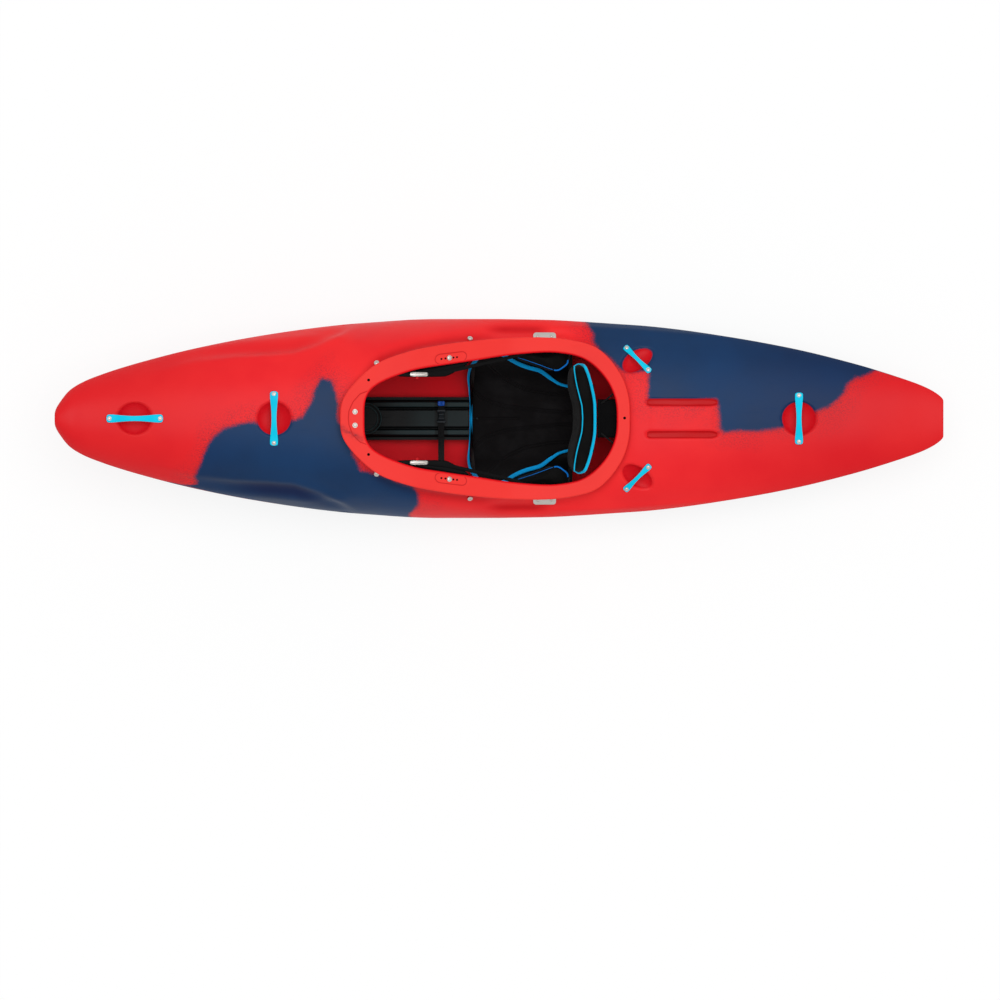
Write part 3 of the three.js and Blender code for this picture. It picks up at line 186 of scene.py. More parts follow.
# Mesh making
def makePiece(name, points, faces, material, body=shellBody, attributes=None):
    points = np.asarray(points, float).reshape(-1, 3)
    mesh = bpy.data.meshes.new(name)
    mesh.vertices.add(len(points))
    mesh.vertices.foreach_set("co", points.astype(np.float32).ravel())
    sizes = np.concatenate([np.full(len(f), f.shape[1]) for f in faces])
    corners = np.concatenate([f.ravel() for f in faces])
    mesh.loops.add(len(corners))
    mesh.loops.foreach_set("vertex_index", corners.astype(np.int32))
    mesh.polygons.add(len(sizes))
    starts = np.concatenate([[0], np.cumsum(sizes)[:-1]])
    mesh.polygons.foreach_set("loop_start", starts.astype(np.int32))
    mesh.polygons.foreach_set("use_smooth", np.ones(len(sizes), bool))
    for key, values in (attributes or {}).items():
        layer = mesh.attributes.new(key, "FLOAT", "POINT")
        layer.data.foreach_set("value", np.asarray(values, np.float32).ravel())
    mesh.update(calc_edges=True)
    mesh.validate()
    mesh.materials.append(material)
    piece = bpy.data.objects.new(name, mesh)
    bpy.context.scene.collection.objects.link(piece)
    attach(piece, body)
    return piece


# Quads of a grid of rows by columns, each way open or closed
def gridFaces(rows, columns, closeRows=False, closeColumns=False):
    lastRow = rows if closeRows else rows - 1
    lastColumn = columns if closeColumns else columns - 1
    r, c = np.meshgrid(np.arange(lastRow), np.arange(lastColumn), indexing="ij")
    r, c = r.ravel(), c.ravel()
    rn, cn = (r + 1) % rows, (c + 1) % columns
    return np.stack([r * columns + c, r * columns + cn, rn * columns + cn, rn * columns + c], axis=1)


# Six times the volume that the quads enclose: below zero where they face inwards
def signedVolume(points, quads):
    a, b, c, d = (points[quads[:, k]] for k in range(4))
    return float(np.sum(a * np.cross(b, c)) + np.sum(a * np.cross(c, d)))


# A closed skin over rows of rings: its ends are closed by a fan to their middle points
def skinOver(rings):
    rows, columns = rings.shape[:2]
    points = rings.reshape(-1, 3)
    quads = gridFaces(rows, columns, closeColumns=True)
    ends = np.stack([rings[0].mean(axis=0), rings[-1].mean(axis=0)])
    points = np.concatenate([points, ends])
    k = np.arange(columns)
    kn = (k + 1) % columns
    first = np.stack([kn, k, np.full(columns, rows * columns)], axis=1)
    last = (rows - 1) * columns
    final = np.stack([last + k, last + kn, np.full(columns, rows * columns + 1)], axis=1)
    if signedVolume(points, quads) < 0:
        quads, first, final = quads[:, ::-1], first[:, ::-1], final[:, ::-1]
    return points, [quads, first, final]


# A closed skin over rings as a finished piece, in place of CAD nodes; the slot it is given is not used;
# edges that turn by more than the sharp angle, in degrees, stay sharp
def skinPiece(name, rings, material, slot, *nodes, sharp=0, body=shellBody, attributes=None):
    points, faces = skinOver(rings)
    piece = makePiece(name, points, faces, material, body, attributes=attributes)
    return finishPiece(piece, slot, *nodes, sharp=sharp)


def finishPiece(piece, slot, *nodes, sharp=0):
    if sharp:
        piece.data.set_sharp_from_angle(angle=math.radians(sharp))
    if nodes:
        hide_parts(*nodes)
    return piece


# The cubic from b to c whose slopes are half of c - a and of d - b
def catmullRom(a, b, c, d, t):
    return 0.5 * (2 * b + (c - a) * t + (2 * a - 5 * b + 4 * c - d) * t**2 + (3 * b - a - 3 * c + d) * t**3)


# Even steps along a path of points, rounded by a Catmull-Rom curve
def smoothPath(points, count, closed=False):
    p = np.asarray(points, float)
    n = len(p)
    if closed:
        ext = np.concatenate([p[-1:], p, p[:2]])
        spans = n
    else:
        ext = np.concatenate([2 * p[:1] - p[1:2], p, 2 * p[-1:] - p[-2:-1]])
        spans = n - 1
    t = np.linspace(0, spans, spans * 24 + 1)
    i = np.minimum(t.astype(int), spans - 1)
    f = (t - i)[:, None]
    a, b, c, d = ext[i], ext[i + 1], ext[i + 2], ext[i + 3]
    fine = catmullRom(a, b, c, d, f)
    length = np.concatenate([[0], np.cumsum(np.linalg.norm(np.diff(fine, axis=0), axis=1))])
    wanted = np.linspace(0, length[-1], count + 1 if closed else count)
    if closed:
        wanted = wanted[:-1]
    return np.stack([np.interp(wanted, length, fine[:, k]) for k in range(3)], axis=1)


# The side and the up of every point of a path, up kept near the given direction
def pathFrames(path, up, closed=False):
    if closed:
        forward = unit(np.roll(path, -1, axis=0) - np.roll(path, 1, axis=0))
    else:
        forward = unit(np.gradient(path, axis=0))
    up = np.broadcast_to(np.asarray(up, float), path.shape)
    side = unit(np.cross(forward, up))
    return side, np.cross(side, forward)


# One outline of (side, up) pairs, or one for each step, carried along a path
def sweep(name, path, outline, up, material, body=shellBody, closed=False, attributes=None):
    side, lift = pathFrames(path, up, closed)
    outline = np.asarray(outline, float)
    if outline.ndim == 2:
        outline = np.broadcast_to(outline, (len(path),) + outline.shape)
    rings = path[:, None] + side[:, None] * outline[..., :1] + lift[:, None] * outline[..., 1:]
    if closed:
        points = rings.reshape(-1, 3)
        quads = gridFaces(len(path), outline.shape[1], True, True)
        if signedVolume(points, quads) < 0:
            quads = quads[:, ::-1]
        return makePiece(name, points, [quads], material, body, attributes=attributes)
    points, faces = skinOver(rings)
    return makePiece(name, points, faces, material, body, attributes=attributes)


def roundOutline(radius, sides=12):
    angle = np.arange(sides) / sides * 2 * math.pi
    return np.stack([radius * np.cos(angle), radius * np.sin(angle)], axis=1)


# A flat oblong with rounded corners, centred
def oblongOutline(width, height, radius, perCorner=4):
    corners = []
    for k, (sx, sy) in enumerate([(1, 1), (-1, 1), (-1, -1), (1, -1)]):
        angle = (k + np.linspace(0, 1, perCorner)) * math.pi / 2
        corners.append(np.stack([
            sx * (width / 2 - radius) + radius * np.cos(angle),
            sy * (height / 2 - radius) + radius * np.sin(angle),
        ], axis=1))
    return np.concatenate(corners)


# A profile of (radius, height) turned about an axis through a point
def turnedRings(profile, point, axis, sides=24):
    profile = np.asarray(profile, float)
    axis = unit(np.asarray(axis, float))
    other = np.array([1.0, 0, 0]) if abs(axis[0]) < 0.8 else np.array([0, 1.0, 0])
    u = unit(np.cross(axis, other))
    v = np.cross(axis, u)
    angle = np.arange(sides) / sides * 2 * math.pi
    ring = np.cos(angle)[:, None] * u + np.sin(angle)[:, None] * v
    return np.asarray(point) + profile[:, :1, None] * ring[None] + profile[:, 1:, None] * axis


# The nearest places on an open line of points in a plane, and how far they are
def nearestOnLine(points, line):
    p, line = np.asarray(points, float), np.asarray(line, float)
    best, places = np.full(len(p), np.inf), p.copy()
    for start, end in zip(line[:-1], line[1:]):
        d = end - start
        place = start + np.clip(((p - start) @ d) / max(d @ d, 1e-12), 0, 1)[:, None] * d
        distance = np.linalg.norm(p - place, axis=1)
        closer = distance < best
        best[closer], places[closer] = distance[closer], place[closer]
    return places, best


def lineDistance(points, line):
    return nearestOnLine(points, line)[1]


# Distance to a closed outline: above zero inside it
def insideDepth(points, outline):
    p, outline = np.asarray(points, float), np.asarray(outline, float)
    loop = np.concatenate([outline, outline[:1]])
    inside = np.zeros(len(p), bool)
    for (x0, y0), (x1, y1) in zip(loop[:-1], loop[1:]):
        crosses = (y0 > p[:, 1]) != (y1 > p[:, 1])
        rise = y1 - y0 if y1 != y0 else 1e-12
        inside ^= crosses & (p[:, 0] < (x1 - x0) * (p[:, 1] - y0) / rise + x0)
    return np.where(inside, 1, -1) * lineDistance(p, loop)


# Pixels of the photograph's two views as places on the boat: metres for each pixel
photoFrame = {"metresPerPixel": 0.00308, "middleX": 499, "planMiddleY": 418.5, "sideBaseY": 676.5}


def planPlace(px, py):
    scale = photoFrame["metresPerPixel"]
    return (px - photoFrame["middleX"]) * scale, -(py - photoFrame["planMiddleY"]) * scale


def sidePlace(px, py):
    scale = photoFrame["metresPerPixel"]
    return (px - photoFrame["middleX"]) * scale, (photoFrame["sideBaseY"] - py) * scale


# Camera straight above, so that the plan lies where the photograph has it
camera = bpy.data.objects.new("planCamera", bpy.data.cameras.new("planCamera"))
bpy.context.scene.collection.objects.link(camera)
camera.data.type = "ORTHO"
camera.data.ortho_scale = 1000 * photoFrame["metresPerPixel"]
camera.data.clip_end = 20
cameraX, cameraY = planPlace(500, 500)
camera.location = (cameraX, cameraY, 4)
bpy.context.scene.camera = camera


# Materials: each input of a node gets a number, a colour or the output of another node
def feed(tree, node, values):
    for key, value in values.items():
        if isinstance(value, (int, float, tuple)):
            node.inputs[key].default_value = value
        else:
            tree.links.new(value, node.inputs[key])


def newNode(tree, kind, values=None):
    node = tree.nodes.new("ShaderNode" + kind)
    feed(tree, node, values or {})
    return node


def nodeMaterial(name):
    material = bpy.data.materials.new(name)
    material.use_nodes = True
    tree = material.node_tree
    tree.nodes.clear()
    shader = newNode(tree, "BsdfPrincipled")
    newNode(tree, "OutputMaterial", {"Surface": shader.outputs["BSDF"]})
    return material, tree, shader, newNode(tree, "TexCoord").outputs["Object"]


def srgb(r, g, b):
    c = np.array([r, g, b], float) / 255
    linear = np.where(c <= 0.04045, c / 12.92, ((c + 0.055) / 1.055) ** 2.4)
    return (*linear, 1.0)


def stored(tree, attribute):
    node = newNode(tree, "Attribute")
    node.attribute_name = attribute
    return node.outputs["Fac"]


def noiseNode(tree, coords, scale, detail=3, roughness=0.5, stretch=None):
    if stretch:
        coords = newNode(tree, "Mapping", {"Scale": stretch, "Vector": coords}).outputs["Vector"]
    values = {"Scale": scale, "Detail": detail, "Roughness": roughness, "Vector": coords}
    return newNode(tree, "TexNoise", values).outputs["Fac"]


def rangeNode(tree, value, low, high, outLow=0.0, outHigh=1.0, smooth=False):
    values = {"From Min": low, "From Max": high, "To Min": outLow, "To Max": outHigh, "Value": value}
    node = newNode(tree, "MapRange", values)
    node.interpolation_type = "SMOOTHSTEP" if smooth else "LINEAR"
    return node.outputs["Result"]


def mathNode(tree, operation, a, b=None, clamp=False):
    node = newNode(tree, "Math", {0: a} if b is None else {0: a, 1: b})
    node.operation = operation
    node.use_clamp = clamp
    return node.outputs["Value"]


# A noise moved to lie about zero, times a reach
def swing(tree, noise, reach):
    return mathNode(tree, "MULTIPLY", mathNode(tree, "SUBTRACT", noise, 0.5), reach)


# A mix of two colours: these are sockets 6 and 7 of a Mix node, and its third output
def mixColour(tree, factor, a, b):
    node = newNode(tree, "Mix")
    node.data_type = "RGBA"
    feed(tree, node, {0: factor, 6: a, 7: b})
    return node.outputs[2]


def addBump(tree, shader, height, distance):
    bump = newNode(tree, "Bump", {"Distance": distance, "Height": height})
    feed(tree, shader, {"Normal": bump.outputs["Normal"]})


# Shared effect: fine moulding grain and light scuffs, as a height and a roughness shift
def makeGrainGroup():
    group = bpy.data.node_groups.new("mouldedGrain", "ShaderNodeTree")
    for socketName, kind in (("Vector", "Vector"), ("Scale", "Float"), ("Scuff", "Float")):
        group.interface.new_socket(socketName, in_out="INPUT", socket_type="NodeSocket" + kind)
    for socketName in ("Height", "Roughness", "Tone"):
        group.interface.new_socket(socketName, in_out="OUTPUT", socket_type="NodeSocketFloat")
    source = group.nodes.new("NodeGroupInput").outputs
    fine = noiseNode(group, source["Vector"], source["Scale"], 4)
    scratch = noiseNode(group, source["Vector"], 60, 3, 0.6, (0.12, 3, 3))
    scuffed = mathNode(group, "MULTIPLY", rangeNode(group, scratch, 0.62, 0.7), source["Scuff"])
    broad = noiseNode(group, source["Vector"], 5, 3)
    worn, spread = mathNode(group, "MULTIPLY", scuffed, 0.3), rangeNode(group, broad, 0.3, 0.7, -0.05, 0.06)
    feed(group, group.nodes.new("NodeGroupOutput"), {
        "Height": mathNode(group, "SUBTRACT", fine, scuffed),
        "Roughness": mathNode(group, "ADD", worn, spread),
        "Tone": rangeNode(group, broad, 0.3, 0.7, -1, 1),
    })
    return group


grainGroup = makeGrainGroup()


# Grain as bump and roughness; gives back the broad tone from 0 to 1
def addGrain(tree, coords, shader, scale, scuff, depth, roughness, height=None):
    grain = newNode(tree, "Group")
    grain.node_tree = grainGroup
    feed(tree, grain, {"Scale": scale, "Scuff": scuff, "Vector": coords})
    level = grain.outputs["Height"]
    if height is not None:
        level = mathNode(tree, "ADD", level, height)
    addBump(tree, shader, level, depth)
    feed(tree, shader, {"Roughness": mathNode(tree, "ADD", grain.outputs["Roughness"], roughness, True)})
    return rangeNode(tree, grain.outputs["Tone"], -1, 1)


shellFinish = {
    "red": srgb(240, 40, 42),
    "deepRed": srgb(230, 28, 36),
    # darker red and blue for the painted shade
    "hollowRed": srgb(192, 0, 14),
    "shadedDishRed": srgb(206, 2, 20),
    "shadedGrooveRed": srgb(186, 0, 8),
    "blue": srgb(12, 52, 94),
    "deepBlue": srgb(10, 43, 79),
    "hollowBlue": srgb(0, 20, 62),
    "speck": srgb(58, 34, 52),
    "roughness": 0.46,
    "specular": 0.16,
    "ragged": 0.013,
    "speckled": 0.014,
    "drift": 0.14,
}


# Red and blue resin that run into each other: the border is the stored depth into
# the blue zone, broken up by broad and fine noise, with dark specks on the red side;
# hollows, ends and the lower hull get painted shade, and dishes and grooves are red with painted shade
def makeShellMaterial():
    material, tree, shader, coords = nodeMaterial("shellPlastic")
    f = shellFinish
    broad = addGrain(tree, coords, shader, 420, 0.25, 0.0002, f["roughness"])
    # painted shade: the stored hollow attribute darkens both the red and the blue
    hollow = stored(tree, "hollow")
    red = mixColour(tree, hollow, mixColour(tree, broad, f["deepRed"], f["red"]), f["hollowRed"])
    blue = mixColour(tree, hollow, mixColour(tree, broad, f["deepBlue"], f["blue"]), f["hollowBlue"])
    away = mathNode(tree, "ABSOLUTE", stored(tree, "redLine"))
    blue = mixColour(tree, rangeNode(tree, away, 0.0004, 0.0016, 0.8, 0), blue, f["deepRed"])
    shift = swing(tree, noiseNode(tree, coords, 14, 4, 0.55), f["ragged"] * 2)
    spray = swing(tree, noiseNode(tree, coords, 330, 4, 0.7), f["speckled"] * 2)
    depth = mathNode(tree, "ADD", stored(tree, "blueDepth"), shift)
    mask = rangeNode(tree, mathNode(tree, "ADD", depth, spray), -0.007, 0.008, smooth=True)
    drift = swing(tree, noiseNode(tree, coords, 8, 2), f["drift"])
    near = rangeNode(tree, mathNode(tree, "ADD", depth, drift), -0.072, 0.012)
    crumbs = noiseNode(tree, coords, 230, 3, 0.8)
    speck = mathNode(tree, "MULTIPLY", rangeNode(tree, crumbs, 0.47, 0.62), near, True)
    dust = mathNode(tree, "MULTIPLY", rangeNode(tree, depth, -0.014, 0.004), 0.3)
    dusty = mathNode(tree, "ADD", mathNode(tree, "MULTIPLY", speck, 0.6), dust, True)
    colour = mixColour(tree, mask, mixColour(tree, dusty, red, f["speck"]), blue)
    # dishes and grooves are red resin, painted darker as painted shade in the recess
    for attribute, paint, start in (("inDish", f["shadedDishRed"], 0.001), ("inGroove", f["shadedGrooveRed"], -0.001)):
        inside = rangeNode(tree, stored(tree, attribute), start, start + 0.0025)
        colour = mixColour(tree, inside, colour, paint)
    feed(tree, shader, {"Base Color": colour, "Specular IOR Level": f["specular"]})
    return material


rimFinish = {
    "colour": srgb(240, 54, 48),
    "deep": srgb(235, 48, 44),
    # painted shade along the moulded lines
    "line": srgb(190, 18, 24),
    "rolledEdgeShade": srgb(232, 8, 22),
    "smear": srgb(110, 30, 44),
    "roughness": 0.48,
    "specular": 0.14,
}


# Coral plastic with the moulded lines drawn as painted shade from the stored distance to them
def makeRimMaterial():
    material, tree, shader, coords = nodeMaterial("rimPlastic")
    f = rimFinish
    away = mathNode(tree, "ABSOLUTE", stored(tree, "lineDistance"))
    mask = rangeNode(tree, away, 0.0005, 0.0022, 1, 0, smooth=True)
    groove = mathNode(tree, "MULTIPLY", mask, -3.0)
    broad = addGrain(tree, coords, shader, 420, 0.2, 0.0002, f["roughness"], groove)
    plain = mixColour(tree, broad, f["deep"], f["colour"])
    # painted shade: the rolled inner edge is painted a deeper, darker red
    plain = mixColour(tree, stored(tree, "rolledEdgeShade"), plain, f["rolledEdgeShade"])
    streak = rangeNode(tree, noiseNode(tree, coords, 90, 4, 0.6), 0.3, 0.7)
    cloudy = mathNode(tree, "MULTIPLY", stored(tree, "smear"), streak, True)
    stained = mixColour(tree, cloudy, plain, f["smear"])
    # painted shade: the moulded lines are painted dark red along their creases
    colour = mixColour(tree, mathNode(tree, "MULTIPLY", mask, 0.8), stained, f["line"])
    feed(tree, shader, {"Base Color": colour, "Specular IOR Level": f["specular"]})
    return material


# A plain plastic: two tones, grain (scale, depth, scuff); a painted highlight colour where the stored
# crestHighlight is high
def makePlastic(name, colour, deep, roughness, specular, grain=(500, 0.00015, 0.2), crestHighlight=None):
    material, tree, shader, coords = nodeMaterial(name)
    scale, depth, scuff = grain
    paint = mixColour(tree, addGrain(tree, coords, shader, scale, scuff, depth, roughness), deep, colour)
    if crestHighlight is not None:
        paint = mixColour(tree, stored(tree, "crestHighlight"), paint, crestHighlight)
    feed(tree, shader, {"Base Color": paint, "Specular IOR Level": specular})
    return material


def makeSteel(name, colour, roughness):
    material, tree, shader, coords = nodeMaterial(name)
    brushed = noiseNode(tree, coords, 900, 2, 0.5, (0.1, 1, 1))
    dull = tuple(0.86 * c for c in colour[:3]) + (1,)
    feed(tree, shader, {
        "Base Color": mixColour(tree, brushed, colour, dull),
        "Roughness": rangeNode(tree, brushed, 0.3, 0.7, roughness - 0.06, roughness + 0.08),
        "Metallic": 0.9,
    })
    return material


# Woven tape and cord: ribs across the length, from the stored distance along it
def makeWoven(name, colour, deep, pitch, roughness=0.6, sheen=0.04):
    material, tree, shader, coords = nodeMaterial(name)
    turn = mathNode(tree, "MULTIPLY", stored(tree, "run"), 2 * math.pi / pitch)
    rib = rangeNode(tree, mathNode(tree, "SINE", turn), -1, 1)
    fuzz = noiseNode(tree, coords, 900, 3, 0.6)
    addBump(tree, shader, mathNode(tree, "ADD", rib, mathNode(tree, "MULTIPLY", fuzz, 0.6)), 0.0003)
    shade = rangeNode(tree, mathNode(tree, "MULTIPLY", rib, fuzz), 0.1, 0.6)
    feed(tree, shader, {
        "Base Color": mixColour(tree, shade, deep, colour),
        "Roughness": rangeNode(tree, fuzz, 0.3, 0.7, roughness - 0.05, roughness + 0.1),
        "Sheen Weight": sheen,
        "Specular IOR Level": 0.12,
    })
    return material


# Cloth: a knitted face of small cells with a soft sheen, lighter where it is rubbed
def makeCloth(name, colour, worn):
    material, tree, shader, coords = nodeMaterial(name)
    knit = newNode(tree, "TexVoronoi", {"Scale": 1100, "Vector": coords})
    rubbed = rangeNode(tree, noiseNode(tree, coords, 14, 5, 0.6), 0.45, 0.75)
    fleck = rangeNode(tree, noiseNode(tree, coords, 700, 2), 0.35, 0.7)
    addBump(tree, shader, knit.outputs["Distance"], 0.00025)
    feed(tree, shader, {
        "Base Color": mixColour(tree, mathNode(tree, "MULTIPLY", rubbed, fleck), colour, worn),
        "Roughness": rangeNode(tree, rubbed, 0, 1, 0.86, 0.7),
        "Sheen Weight": 0.05,
        "Sheen Roughness": 0.4,
        "Specular IOR Level": 0.1,
    })
    return material


# Closed-cell foam: small cells with cut faces
def makeFoam(name, colour, pale):
    material, tree, shader, coords = nodeMaterial(name)
    cells = newNode(tree, "TexVoronoi", {"Scale": 480, "Vector": coords})
    cut = rangeNode(tree, cells.outputs["Distance"], 0.1, 0.6)
    addBump(tree, shader, cut, 0.0006)
    feed(tree, shader, {
        "Base Color": mixColour(tree, cut, pale, colour),
        "Roughness": rangeNode(tree, noiseNode(tree, coords, 30), 0.3, 0.7, 0.85, 0.98),
        "Specular IOR Level": 0.08,
    })
    return material


# A tube or tape along a path, with the distance along it stored for its weave
def sweepTape(name, path, outline, up, material, body=shellBody, closed=False):
    count = len(outline) if np.ndim(outline) == 2 else np.shape(outline)[1]
    steps = np.linalg.norm(np.diff(path, axis=0), axis=1)
    run = np.concatenate([[0], np.cumsum(steps)])
    values = np.repeat(run, count)
    if not closed:
        values = np.concatenate([values, [run[0], run[-1]]])
    return sweep(name, path, outline, up, material, body, closed=closed, attributes={"run": values})


shellPlastic = makeShellMaterial()
skinGrain, dullGrain, coarseGrain = (420, 0.0002, 0.15), (400, 0.0001, 0.1), (380, 0.0003, 0.4)
liningPlastic = makePlastic("liningPlastic", srgb(226, 10, 28), srgb(206, 6, 22), 0.5, 0.08, skinGrain)
rimPlastic = makeRimMaterial()
handlePlastic = makePlastic("handlePlastic", srgb(4, 204, 236), srgb(2, 190, 226), 0.5, 0.12)
blackPlastic = makePlastic("blackPlastic", srgb(9, 9, 10), srgb(5, 6, 7), 0.5, 0.08, coarseGrain)
trayColours = srgb(8, 10, 11), srgb(5, 6, 7)
# the tray's lighter crest colour is a painted highlight
trayPlastic = makePlastic("trayPlastic", *trayColours, 0.45, 0.08, coarseGrain, srgb(32, 46, 48))
greyPlastic = makePlastic("greyPlastic", srgb(34, 40, 44), srgb(24, 28, 32), 0.45, 0.12, coarseGrain)
tabPlastic = makePlastic("tabPlastic", srgb(214, 20, 28), srgb(180, 12, 20), 0.4, 0.15)
anchorPlastic = makePlastic("anchorPlastic", srgb(10, 84, 178), srgb(6, 62, 150), 0.4, 0.15)
# a near-black disc that stands in for the shade inside a hole
holeShadePlastic = makePlastic("holeShadePlastic", srgb(14, 2, 4), srgb(8, 1, 2), 0.8, 0.04, dullGrain)
steelFinish = makeSteel("stainlessSteel", srgb(190, 186, 180), 0.36)
ropeBraid = makeWoven("cordBraid", srgb(14, 14, 15), srgb(5, 5, 6), 0.0022)
padCloth = makeCloth("neoprene", srgb(10, 8, 9), srgb(20, 18, 20))
bandCloth = makeCloth("bandCloth", srgb(3, 3, 3), srgb(6, 5, 6))
cyanTape = makeWoven("cyanTape", srgb(0, 186, 252), srgb(0, 162, 240), 0.0016)
brightTape = makeWoven("brightTape", srgb(0, 202, 240), srgb(0, 176, 226), 0.0016)
blueTape = makeWoven("blueTape", srgb(0, 132, 226), srgb(0, 108, 206), 0.0016)
webbingCloth = makeWoven("webbing", srgb(14, 14, 15), srgb(6, 6, 7), 0.0014)
foamBlack = makeFoam("foamBlack", srgb(6, 6, 7), srgb(14, 14, 15))
print("materials made")

# Finger dishes and grooves of the deck
wall = hullShape["wall"]
dishShape = {"radius": 0.054, "depth": 0.022}
rearDishShape = {
    "along": 0.057,
    "across": 0.034,
    "depth": 0.02,
    "turn": 0.21 * math.pi,
    "x": 0.4263,
    "y": 0.183,
}
grooveShape = {"x": 0.564, "y": 0.05, "along": 0.106, "across": 0.0116, "depth": 0.01}
centreDishes = (-1.122, -0.693, 0.924)


# How deep the finger dishes and grooves are under the plain deck at (x, y), and how
# far inside the nearest dish and the nearest groove the place is
def dishes(x, y):
    depth, inDish, inGroove = np.zeros_like(x), np.full_like(x, -1), np.full_like(x, -1)
    tilt = slopeNormal(deckHeight, x, y)[..., 2]

    def sink(share, deep, size):
        bowl = np.sqrt(np.clip(1 - share * share, 0, 1))
        sunk = np.maximum(depth, deep * bowl * smoothStep(0, 0.25, bowl))
        return sunk, np.maximum(inDish, (1 - share) * size)

    for middle in centreDishes:
        share = np.hypot(x - middle, y / tilt) / dishShape["radius"]
        depth, inDish = sink(share, dishShape["depth"], dishShape["radius"])
    for sign in (-1, 1):
        a = sign * rearDishShape["turn"]
        dx, dy = x - rearDishShape["x"], (y - sign * rearDishShape["y"]) / tilt
        u = (dx * math.cos(a) + dy * math.sin(a)) / rearDishShape["along"]
        v = (-dx * math.sin(a) + dy * math.cos(a)) / rearDishShape["across"]
        depth, inDish = sink(np.hypot(u, v), rearDishShape["depth"], rearDishShape["across"])
        u = (x - grooveShape["x"]) / grooveShape["along"]
        ends = np.clip(np.maximum((u - 0.8) / 0.26, (-u - 0.94) / 0.1), 0, 1)
        inside = grooveShape["across"] * np.sqrt(1 - ends**2) - np.abs(y - sign * grooveShape["y"])
        inside = np.where(ends < 1, inside, -1)
        inGroove = np.maximum(inGroove, inside)
        depth = np.maximum(depth, grooveShape["depth"] * 0.8 * smoothStep(-0.0015, 0.003, inside))
    return depth, inDish, inGroove


# Moulded edges of the deck and hull: lines in the plan and in the side view, in metres
deckEdges = {
    "sideCrease": [(-1.112, 0.125), (-0.942, 0.171), (-0.813, 0.1845), (-0.708, 0.189), (-0.631, 0.1955),
                   (-0.553, 0.22), (-0.502, 0.242), (-0.443, 0.2726)],
    "bulge": [(-0.942, 0.254), (-0.761, 0.254), (-0.604, 0.266), (-0.474, 0.3), (-0.397, 0.313)],
    "lowerRail": [(-1.21, 0.285), (-1.124, 0.257), (-1.046, 0.231), (-0.998, 0.22), (-0.952, 0.2125),
                  (-0.865, 0.1955), (-0.761, 0.177), (-0.656, 0.165), (-0.551, 0.152)],
    "shoulder": [(-0.157, 0.285), (-0.052, 0.246), (0.102, 0.214), (0.206, 0.1925), (0.36, 0.182),
                 (0.465, 0.177), (0.61, 0.168), (0.767, 0.152)],
    "footRecess": {"x": (-0.52, -0.277), "z": (0.128, 0.169), "depth": 0.0022},
}

# Where each edge rises and falls along the boat, its height and width, and the hollow beside
# it: how deep, how far off and how wide
edgeRidges = {
    "sideCrease": {"rise": (-1.12, -0.75), "fall": (-0.5, -0.42), "high": 0.0036, "wide": 0.012,
                   "hollow": (0.0054, 0.024, 0.016)},
    "bulge": {"rise": (-0.95, -0.7), "fall": (-0.5, -0.36), "high": 0.0036, "wide": 0.022},
    "lowerRail": {"rise": (-1.3, -1.15), "fall": (-0.62, -0.5), "high": 0.0036, "wide": 0.008,
                  "hollow": (0.0024, -0.018, 0.013)},
    "shoulder": {"rise": (-0.2, -0.05), "fall": (0.62, 0.8), "high": 0.003, "wide": 0.01},
}


# Cockpit rim outlines: Catmull-Rom through the rows, mirrored at both ends
rimShape = {
    "length": 0.893,
    "halfWidth": 0.25,
    "middle": -0.0431,
    "plate": 0.011,
    "round": 0.0035,
    "roll": 0.0068,
    "neckShare": 0.45,
    "neckWall": 0.007,
    "steps": 420,
}
rimRows = np.array([
    (0, 0, 0.084, 0),
    (0.0195, 0.302, 0.0915, 0.264),
    (0.117, 0.652, 0.1365, 0.432),
    (0.2315, 0.82, 0.246, 0.586),
    (0.3485, 0.906, 0.3555, 0.656),
    (0.4655, 0.96, 0.4655, 0.714),
    (0.5795, 0.992, 0.5795, 0.777),
    (0.696, 1, 0.694, 0.812),
    (0.783, 0.974, 0.7665, 0.802),
    (0.8725, 0.893, 0.8305, 0.748),
    (0.9295, 0.733, 0.881, 0.628),
    (0.976, 0.487, 0.9235, 0.448),
    (0.9965, 0.24, 0.949, 0.232),
    (1, 0, 0.9545, 0),
])
rimTops = np.array([
    (0, 1.04), (0.138, 1.02), (0.228, 0.985), (0.338, 0.9125), (0.459, 0.8175), (0.545, 0.7525),
    (0.603, 0.715), (0.69, 0.6925), (0.779, 0.6875), (0.897, 0.695), (1, 0.7025),
])
cockpitFront = rimShape["middle"] - rimShape["length"] / 2


def rimTop(x):
    along = (np.asarray(x, float) - cockpitFront) / rimShape["length"]
    return hullShape["height"] * smoothThrough(rimTops[:, 0], rimTops[:, 1], along)


# The outer and inner outlines in the plan, and below them the line of the neck's middle
def rimOutlines():
    share = np.arange(rimShape["steps"]) / rimShape["steps"]
    sign = np.where(share < 0.5, 1, -1)
    along = np.where(share < 0.5, share * 2, 2 - share * 2)
    row = along * (len(rimRows) - 1)
    curves = []
    for k in range(4):
        values = rimRows[:, k]
        mirror = -1 if k % 2 else 1
        ext = np.concatenate([[mirror * values[1]], values, [mirror * values[-2]]])
        i = np.minimum(row.astype(int), len(values) - 2)
        t = row - i
        a, b, c, d = ext[i], ext[i + 1], ext[i + 2], ext[i + 3]
        curves.append(catmullRom(a, b, c, d, t))
    length, halfWidth = rimShape["length"], rimShape["halfWidth"]
    outer = np.stack([cockpitFront + length * curves[0], sign * halfWidth * curves[1]], axis=1)
    inner = np.stack([cockpitFront + length * curves[2], sign * halfWidth * curves[3]], axis=1)
    return outer, inner


